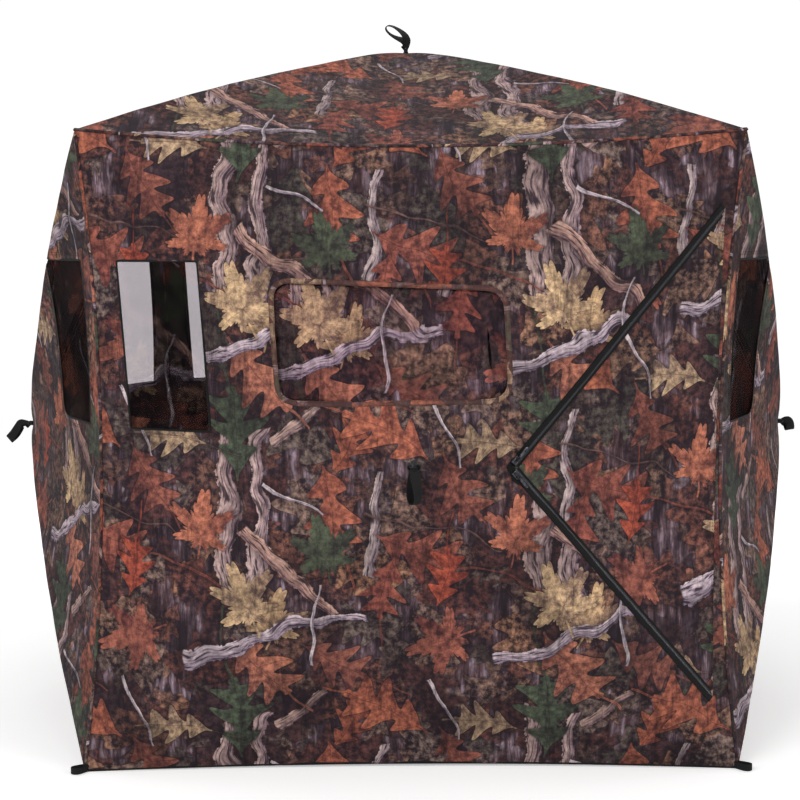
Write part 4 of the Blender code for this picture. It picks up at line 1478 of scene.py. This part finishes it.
def make_corner_seams(looks):
    """The sewn seam down each corner, a folded allowance of the same cloth."""
    b = np.linspace(-0.975, 0.985, 49)
    for end, y_side in (("front", -1), ("rear", 1)):
        for side, x_side in (("left", -1), ("right", 1)):
            seam = Shape()
            reach = HALF - PULL_SIDE * (1 - b * b)
            places = [Vector((k * 0.35, x_side * 3.0, y_side * 5.0)) for k in range(len(b))]
            reach = reach + 0.0006 * np.array([noise.noise(place) for place in places])
            path = np.stack([x_side * reach, y_side * reach, (b + 1) * MID], 1)
            out = unit((x_side, y_side, 0.0))
            start = (0.0, 0.21 + 0.1 * x_side)
            sweep(seam, path + out * 0.0006, out, ribbon_section(0.0086, 0.0050), start=start)
            for face in ((x_side, 0.0, 0.0), (0.0, y_side, 0.0)):
                along = np.array((0.0, y_side, 0.0) if face[0] else (x_side, 0.0, 0.0))
                face = np.array(face)
                stitches(seam, path - along * 0.0095 + face * 0.0006, face, slot=1, lift=0.0003)
            obj = seam.build(f"corner_seam_{end}_{side}_fold", [looks["camo"], looks["thread"]])
            fit(obj, "camo_fabric", f"corner_seam_{end}_{side}", rides="root")


def go_round(side, steps):
    """A closed line of four sides, each worked out in the front's place and turned into its own."""
    a = np.linspace(-1, 1, steps, endpoint=False)
    sides = []
    for spin in range(4):
        x = a * HALF
        y, z = side(a, 1 - a * a, spin)
        for _ in range(spin):
            x, y = -y, x
        sides.append(np.stack([x, y, z], 1))
    path = np.vstack(sides)
    ring = np.vstack([path[-1:], path, path[:1]])
    ahead = unit(ring[2:] - ring[:-2])
    return path, unit(np.cross(ahead, (0.0, 0.0, 1.0)))


def roof_side(a, slack, spin):
    return -HALF + PULL_TOP * slack, HEIGHT - PULL_TOP * slack


def make_roof_seam(looks):
    path, flat = go_round(roof_side, 40)
    out = unit(flat + np.array((0.0, 0.0, 0.9)))
    seam = Shape()
    sweep(seam, path + out * 0.0008, out, ribbon_section(0.0080, 0.0042), closed=True)
    line = path + flat * 0.0012 - np.array((0.0, 0.0, 0.0100))
    stitches(seam, line, flat, slot=1, lift=0.0004)
    obj = seam.build("roof_edge_seam_fold", [looks["camo"], looks["thread"]])
    fit(obj, "camo_fabric", "roof_seam", rides="root")


def hem_side(a, slack, spin):
    places = [Vector((k * 0.31, spin * 7.0, 2.0)) for k in range(len(a))]
    ripple = np.array([noise.noise(place) for place in places]) * slack
    return -HALF + PULL_GROUND * slack + 0.0022 * ripple, 0.0102 + HEM_LIFT * slack + 0.0012 * ripple


# Half of a peg loop seen from above: (outward from the corner, sideways) in metres
PEG_LOOP = ((-0.012, -0.006), (0.004, -0.009), (0.018, -0.0115), (0.028, -0.0105), (0.0335, -0.0055))


def make_hem(looks):
    """The bound lower edge with its stitching, and a webbing loop for a peg at each corner."""
    path, out = go_round(hem_side, 60)
    hem = Shape()
    sweep(hem, path, out, ribbon_section(0.0185, 0.0046), closed=True)
    for height in (-0.0065, 0.0065):
        line = path + np.array((0.0, 0.0, height))
        stitches(hem, line, out, pitch=0.009, lift=0.0024, slot=1)
    corner = math.hypot(HALF, HALF)
    for turn in range(4):
        angle = math.pi / 4 + turn * math.pi / 2
        ahead = np.array((math.cos(angle), math.sin(angle), 0.0))
        side = np.array((-ahead[1], ahead[0], 0.0))
        plan = [*PEG_LOOP, (0.0345, 0.0), *((u, -v) for u, v in PEG_LOOP[::-1])]
        middle = corner * ahead
        fine = catmull([middle + u * ahead + v * side + np.array((0, 0, 0.0088)) for u, v in plan], 4)
        outward = unit(np.cross(unit(np.gradient(fine, axis=0)), (0.0, 0.0, 1.0)))
        sweep(hem, fine, outward, ribbon_section(0.0150, 0.0017))
        block = middle - ahead * 0.004 + np.array((0, 0, 0.0095))
        brick(hem, block, (side, (0, 0, 1), ahead), (0.018, 0.017, 0.010), 0.0022)
    obj = hem.build("ground_hem_webbing", [looks["webbing"], looks["thread_black"]])
    fit(obj, "black_webbing", "ground_hem", rides="root")


def catmull(points, fine):
    """A smooth curve through points."""
    pts = np.asarray(points, float)
    ends = np.vstack([2 * pts[0] - pts[1], pts, 2 * pts[-1] - pts[-2]])
    result = []
    for k in range(len(pts) - 1):
        p0, p1, p2, p3 = ends[k : k + 4]
        for n in range(fine):
            t = n / fine
            bend = (2 * p0 - 5 * p1 + 4 * p2 - p3) * t * t
            result.append(0.5 * (2 * p1 + (p2 - p0) * t + bend + (3 * p1 - p0 - 3 * p2 + p3) * t**3))
    result.append(pts[-1])
    return np.array(result)


# How each pull loop lies: its middle line as (along, lift) in metres, its twist at the base and the far
# end in degrees, how wide it opens, and how much of that opening is at the far end
FLAT_LOOP = ((0, 0), (0.020, 0.002), (0.050, 0.005), (0.077, 0.004))
LEFT_LOOP = ((0, 0), (0.009, 0.009), (0.018, 0.015), (0.028, 0.012), (0.048, 0.008), (0.068, 0.008))
RIGHT_LOOP = ((0, 0), (0.007, 0.008), (0.015, 0.011), (0.024, 0.006), (0.032, 0.000))
ROOF_LOOP = ((0, 0), (0.009, 0.009), (0.019, 0.014), (0.031, 0.013), (0.052, 0.006), (0.076, -0.002))
LOOPS = {
    "front": (FLAT_LOOP, 5, 52, 0.0105, 0.8),
    "rear": (FLAT_LOOP, -5, -45, 0.0105, 0.8),
    "left": (LEFT_LOOP, 35, 72, 0.0060, 1.2),
    "right": (RIGHT_LOOP, -55, -80, 0.0070, 0.8),
    "roof": (ROOF_LOOP, 85, 14, 0.0125, 1.5),
}


def make_pull_loops(looks):
    for name, (line, first_turn, last_turn, gap, late) in LOOPS.items():
        panel = PANELS[name]
        joint = JOINTS[f"{name}_pull_tab_swing"]
        base = np.array(joint["pos_m"], float)
        low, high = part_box(f"{name}_pull_tab")
        direction = unit(np.array((low + high) / 2) - base)
        across = unit(np.array(joint["axis"], float))
        lift = np.cross(across, direction)
        if lift @ panel.z < 0:
            lift = -lift
        middle = catmull([direction * u + lift * v for u, v in line], 12)
        marks = np.linspace(0, 1, len(middle))
        strap = Shape()
        path = []
        outs = []
        scales = []
        steps = 56
        for k in range(steps + 1):
            t = k / steps
            share = (1 - math.cos(2 * math.pi * t)) / 2
            at = (max(0.0, share - 0.04), share, min(1.0, share + 0.04))
            behind, centre, ahead = np.stack([np.interp(at, marks, middle[:, c]) for c in range(3)], 1)
            forward = unit(ahead - behind)
            upward = unit(np.cross(across, forward))
            ease = share * share * (3 - 2 * share)
            turn = math.radians(first_turn + (last_turn - first_turn) * ease)
            side = across * math.cos(turn) + upward * math.sin(turn)
            normal = upward * math.cos(turn) - across * math.sin(turn)
            opening = gap * math.sin(2 * math.pi * t) * (0.18 + share**late) * 1.25
            path.append(base + centre + normal * opening)
            outs.append(side)
            pinch = min(1.0, 0.46 + 1.5 * share)
            scales.append((pinch, 1.0 + 1.4 * max(0.0, 0.25 - share)))
        path = np.array(path)
        heading = unit(np.gradient(path, axis=0))
        normals = np.cross(np.array(outs), heading)
        sweep(strap, path, normals, ribbon_section(0.0240, 0.0018), scales=scales)
        for k in range(3):
            wrap = []
            for t in np.linspace(0, 2 * math.pi, 18, endpoint=False):
                spot = across * math.cos(t) * (0.0076 - 0.0008 * k) + lift * math.sin(t) * 0.0052
                wrap.append(base + direction * (0.0036 + 0.0036 * k) + spot)
            sweep(strap, wrap, direction, ribbon_section(0.0018, 0.0038), closed=True)
        loop = strap.build(f"{name}_pull_loop", [looks["webbing"]])
        fit(loop, "black_webbing", f"{name}_pull_tab", rides=f"{name}_pull_tab")


# ---------------------------------------------------------------- hubs and poles

POLE_RADIUS = 0.0045
POLE_DEPTH = 0.022
POLE_SHORT = 0.072
PIN_REACH = 0.027
STEM_RADIUS = 0.008

# Turned parts of a hub as (radius, height) in metres: boss, stem, back plate, washer, rim and two rivet heads
BOSS = (
    (0.0105, -0.0105), (0.0122, -0.0095), (0.0130, -0.0070),
    (0.0140, 0.0070), (0.0132, 0.0085), (0.0090, 0.0100),
)
STEM = (
    (STEM_RADIUS - 0.0004, 0.0085), (STEM_RADIUS, 0.0095),
    (STEM_RADIUS, 0.0225), (STEM_RADIUS - 0.0006, 0.0230),
)
BACK_PLATE = ((0.0205, -0.0072), (0.0222, -0.0066), (0.0222, -0.0052), (0.0205, -0.0046))
WASHER = (
    (STEM_RADIUS + 0.0002, 0.0206), (0.0140, 0.0208), (0.0146, 0.0212),
    (0.0140, 0.0220), (STEM_RADIUS, 0.0224),
)
RIM = (
    (0.0036, 0.0226), (0.0056, 0.0230), (0.0062, 0.0242),
    (0.0060, 0.0262), (0.0048, 0.0274), (0.0022, 0.0279),
)
TAB_PIN = ((0.0014, -0.0112), (0.0017, -0.0108), (0.0017, 0.0108), (0.0014, 0.0112))
TAB_HEAD = ((0.0030, 0.0), (0.0038, 0.0006), (0.0030, 0.0018), (0.0012, 0.0024))
POLE_PIN = ((0.0014, -0.0092), (0.0016, -0.0088), (0.0016, 0.0088), (0.0014, 0.0092))
POLE_HEAD = ((0.0026, 0.0), (0.0030, 0.0006), (0.0024, 0.0014), (0.0010, 0.0017))
HUB_TURNED = ((BOSS, 28, 0), (STEM, 28, 0), (BACK_PLATE, 36, 0), (WASHER, 32, 0), (RIM, 24, 1))

# A pole's rubber tip and its flattened fork at the hub, as shares of its width and depth
TIP_SCALES = ((0.93, 0.93), (1, 1), (1, 1), (1, 1), (0.97, 0.97), (0.72, 0.72))
FORK_SCALES = ((0.45, 0.75), (0.52, 0.95), (0.54, 1.0), (0.56, 1.0), (0.9, 1.0), (1.0, 1.0), (1.0, 1.0))


def pole_ways(panel):
    """Which way each of a panel's four poles runs, by the name of its corner."""
    ends = ("rear", "front") if panel.name == "roof" else ("top", "bottom")
    rows = [(end, side) for end in zip(ends, (1, -1)) for side in (("left", -1), ("right", 1))]
    return {f"{end}_{side}": (sx, sy) for (end, sy), (side, sx) in rows}


def make_hubs(looks):
    """Each hub with its pull tab's bracket, and two cheeks, a pin and a rib for each pole."""
    for name, panel in PANELS.items():
        centre = panel.world(0.0, 0.0, BULGE - POLE_DEPTH)
        hub = Shape()
        for profile, sides, slot in HUB_TURNED:
            turned(hub, centre, panel.z, profile, sides, slot)
        swing = JOINTS[f"{name}_pull_tab_swing"]
        pivot = np.array(swing["pos_m"], float)
        across = unit(np.array(swing["axis"], float))
        axes = (across, np.cross(panel.z, across), panel.z)
        for cheek in (-1, 1):
            spot = pivot + across * cheek * 0.0102 - panel.z * 0.0024
            brick(hub, spot, axes, (0.0026, 0.0100, 0.0100), 0.0010, 1)
            turned(hub, pivot + across * cheek * 0.0114, across * cheek, TAB_HEAD, 20, 1)
        brick(hub, pivot - panel.z * 0.0070, axes, (0.0232, 0.0100, 0.0022), 0.0008, 1)
        turned(hub, pivot, across, TAB_PIN, 14, 1)
        for sx, sy in pole_ways(panel).values():
            way = unit(panel.x * sx * HALF + panel.y * sy * panel.rise)
            side = np.cross(panel.z, way)
            axes = (side, panel.z, way)
            for cheek in (-1, 1):
                spot = centre + way * 0.0245 + side * cheek * 0.00555
                brick(hub, spot, axes, (0.0046, 0.0128, 0.0225), 0.0012)
            pin = centre + way * PIN_REACH
            turned(hub, pin, side, POLE_PIN, 14, 1)
            for end in (-1, 1):
                turned(hub, pin + side * end * 0.0078, side * end, POLE_HEAD, 14, 1)
            rib = centre + way * 0.0130 - panel.z * 0.0055
            brick(hub, rib, axes, (0.0034, 0.0030, 0.0150), 0.0008)
        obj = hub.build(f"{name}_hub_moulding", [looks["plastic"], looks["rivet"]])
        fit(obj, "black_plastic", f"{name}_hub", rides=f"{name}_hub")


def make_poles(looks):
    """Curved rods with a drilled metal end at the hub, a joining sleeve half way and a rubber tip."""
    thin, full = round_section(POLE_RADIUS * 0.93, 14), round_section(POLE_RADIUS, 14)
    for name, panel in PANELS.items():
        length = math.hypot(HALF, panel.rise)
        first, last = PIN_REACH + 0.012, length - POLE_SHORT
        middle = (first + last) / 2
        stretches = (
            (first, last - 0.004, 30, thin, None, 0),
            (middle - 0.035, middle + 0.035, 7, full, None, 1),
            (last - 0.022, last, 6, full, TIP_SCALES, 2),
            (PIN_REACH - 0.0030, PIN_REACH + 0.024, 7, full, FORK_SCALES, 1),
        )
        for corner, (sx, sy) in pole_ways(panel).items():
            node = f"{name}_pole_{corner}"
            rod = Shape()
            for start, stop, steps, section, scales, slot in stretches:
                share = np.linspace(start, stop, steps) / length
                out = panel.shape(share, share)[2] - POLE_DEPTH
                path = panel.world(share * HALF * sx, share * panel.rise * sy, out)
                sweep(rod, path, panel.z, section, scales=scales, slot=slot)
            obj = rod.build(f"{node}_rod", [looks["fibre"], looks["ferrule"], looks["rubber"]])
            fit(obj, "fibreglass", node, rides=node)


# ---------------------------------------------------------------- studio


# Lamps: name, place, width in metres, watts, and where they point
LAMPS = (
    ("key", (-3.0, -5.4, 3.6), 3.0, 185, (0, 0, 0.8)),
    ("fill", (4.4, -4.8, 2.4), 3.6, 115, (0, 0, 0.7)),
    ("top", (0.0, 0.6, 5.2), 3.4, 45, (0, 0, 1.0)),
    ("back", (0.0, 2.6, 2.6), 3.0, 60, (0, 5.0, 1.2)),
)

# The camera: its lens in millimetres, its place from the front wall's foot, and its yaw, pitch and roll
CAMERA_LENS = 85.5
CAMERA_OFFSET = (-0.081, -4.196, 1.204)
CAMERA_TURN = (0.0131, -0.087, -0.0016)


def make_studio():
    """A white floor under soft lights, with the camera where the photograph was taken from."""
    floor, graph, shader = new_material("studio_floor", Roughness=0.9, Emission_Color=(1.0, 1.0, 1.0, 1.0))
    coords = graph.out(graph.add("ShaderNodeTexCoord"), "Object")
    tone = graph.remap(graph.noise(coords, 1.2, 2.0, dimensions="3D"), 0.3, 0.7, 0.90, 0.93)
    graph.feed(shader.inputs["Base Color"], graph.join(tone, tone, tone))
    seen = graph.out(graph.add("ShaderNodeLightPath"), "Is Camera Ray")
    graph.feed(shader.inputs["Emission Strength"], seen * 0.42)
    far = graph.remap(graph.vector("LENGTH", coords), 5.0, 10.0)
    clear = graph.add("ShaderNodeBsdfTransparent", {"Color": (1.0, 1.0, 1.0, 1.0)})
    show_mix(graph, far, shader, clear)
    shape = Shape()
    reach = np.linspace(-12, 12, 9)
    points = np.array([[(x, y, -0.0005) for x in reach] for y in reach])
    shape.grid(points, np.zeros((9, 9, 2)))
    shape.build("studio_floor", [floor])
    world = bpy.data.worlds.new("studio")
    bpy.context.scene.world = world
    world.use_nodes = True
    background = world.node_tree.nodes["Background"]
    background.inputs[0].default_value = (1.0, 1.0, 1.0, 1.0)
    sky = Graph(world.node_tree)
    seen = sky.out(sky.add("ShaderNodeLightPath"), "Is Camera Ray")
    sky.feed(background.inputs[1], sky.madd(seen, 0.6, 0.45))
    for name, place, size, power, aim in LAMPS:
        lamp = bpy.data.lights.new(name, "AREA")
        lamp.shape = "DISK"
        lamp.size = size
        lamp.energy = power
        obj = bpy.data.objects.new(name, lamp)
        obj.location = place
        obj.rotation_euler = (Vector(aim) - Vector(place)).to_track_quat("-Z", "Y").to_euler()
        bpy.context.scene.collection.objects.link(obj)
    camera = bpy.data.cameras.new("camera")
    camera.lens = CAMERA_LENS
    obj = bpy.data.objects.new("camera", camera)
    bpy.context.scene.collection.objects.link(obj)
    yaw, pitch, roll = CAMERA_TURN
    aim = Vector((math.sin(yaw) * math.cos(pitch), math.cos(yaw) * math.cos(pitch), math.sin(pitch)))
    obj.location = Vector(EDGE) * Vector((0, 1, 0)) + Vector(CAMERA_OFFSET)
    obj.rotation_mode = "QUATERNION"
    obj.rotation_quaternion = aim.to_track_quat("-Z", "Y") @ Matrix.Rotation(roll, 3, "Z").to_quaternion()
    bpy.context.scene.camera = obj
    bpy.context.scene.view_settings.view_transform = "Standard"


def make_looks():
    printed = make_print()
    return {
        "camo": make_camo("woodland_cloth", printed),
        "piping": make_camo("woodland_piping", printed, (0.05, 0.02, 0.0), 0.35),
        "lining": make_lining(),
        "mesh": make_mesh_cloth("window_mesh_cloth", printed, 0.19),
        "mesh_thin": make_mesh_cloth("front_window_mesh_cloth", printed, 0.05),
        "webbing": make_webbing("black_webbing_strap", "232325"),
        "tape": make_webbing("black_zip_tape", "161618", 0.0016),
        "thread": make_webbing("brown_thread", "6a4f42", 0.0008),
        "thread_black": make_webbing("black_thread", "303034", 0.0008),
        "teeth": make_teeth(),
        "zip_metal": make_solid("black_zinc", "303034", "5a5a60", 0.22, 0.9, 160.0),
        "plastic": make_solid("black_nylon", "0c0c0d", "1b1b1d", 0.48, 0.0, 260.0),
        "rivet": make_solid("black_rivet", "1c1c1f", "3a3a40", 0.20, 0.7, 60.0),
        "fibre": make_solid("black_fibreglass", "0d0d0e", "1c1c1e", 0.34, 0.0, 420.0),
        "ferrule": make_solid("steel_ferrule", "6f7073", "9a9b9e", 0.32, 0.9, 300.0),
        "rubber": make_solid("rubber_tip", "0b0b0b", "181818", 0.7, 0.0, 200.0),
    }


def main():
    looks = make_looks()
    make_walls(looks)
    make_screens(looks)
    make_front_window(looks)
    make_door(looks)
    make_zip(looks)
    make_slider("upper_zip_slider", "upper_zip_slide", looks)
    make_slider("lower_zip_slider", "lower_zip_slide", looks)
    make_corner_seams(looks)
    make_roof_seam(looks)
    make_hem(looks)
    make_pull_loops(looks)
    make_hubs(looks)
    make_poles(looks)
    make_studio()


main()
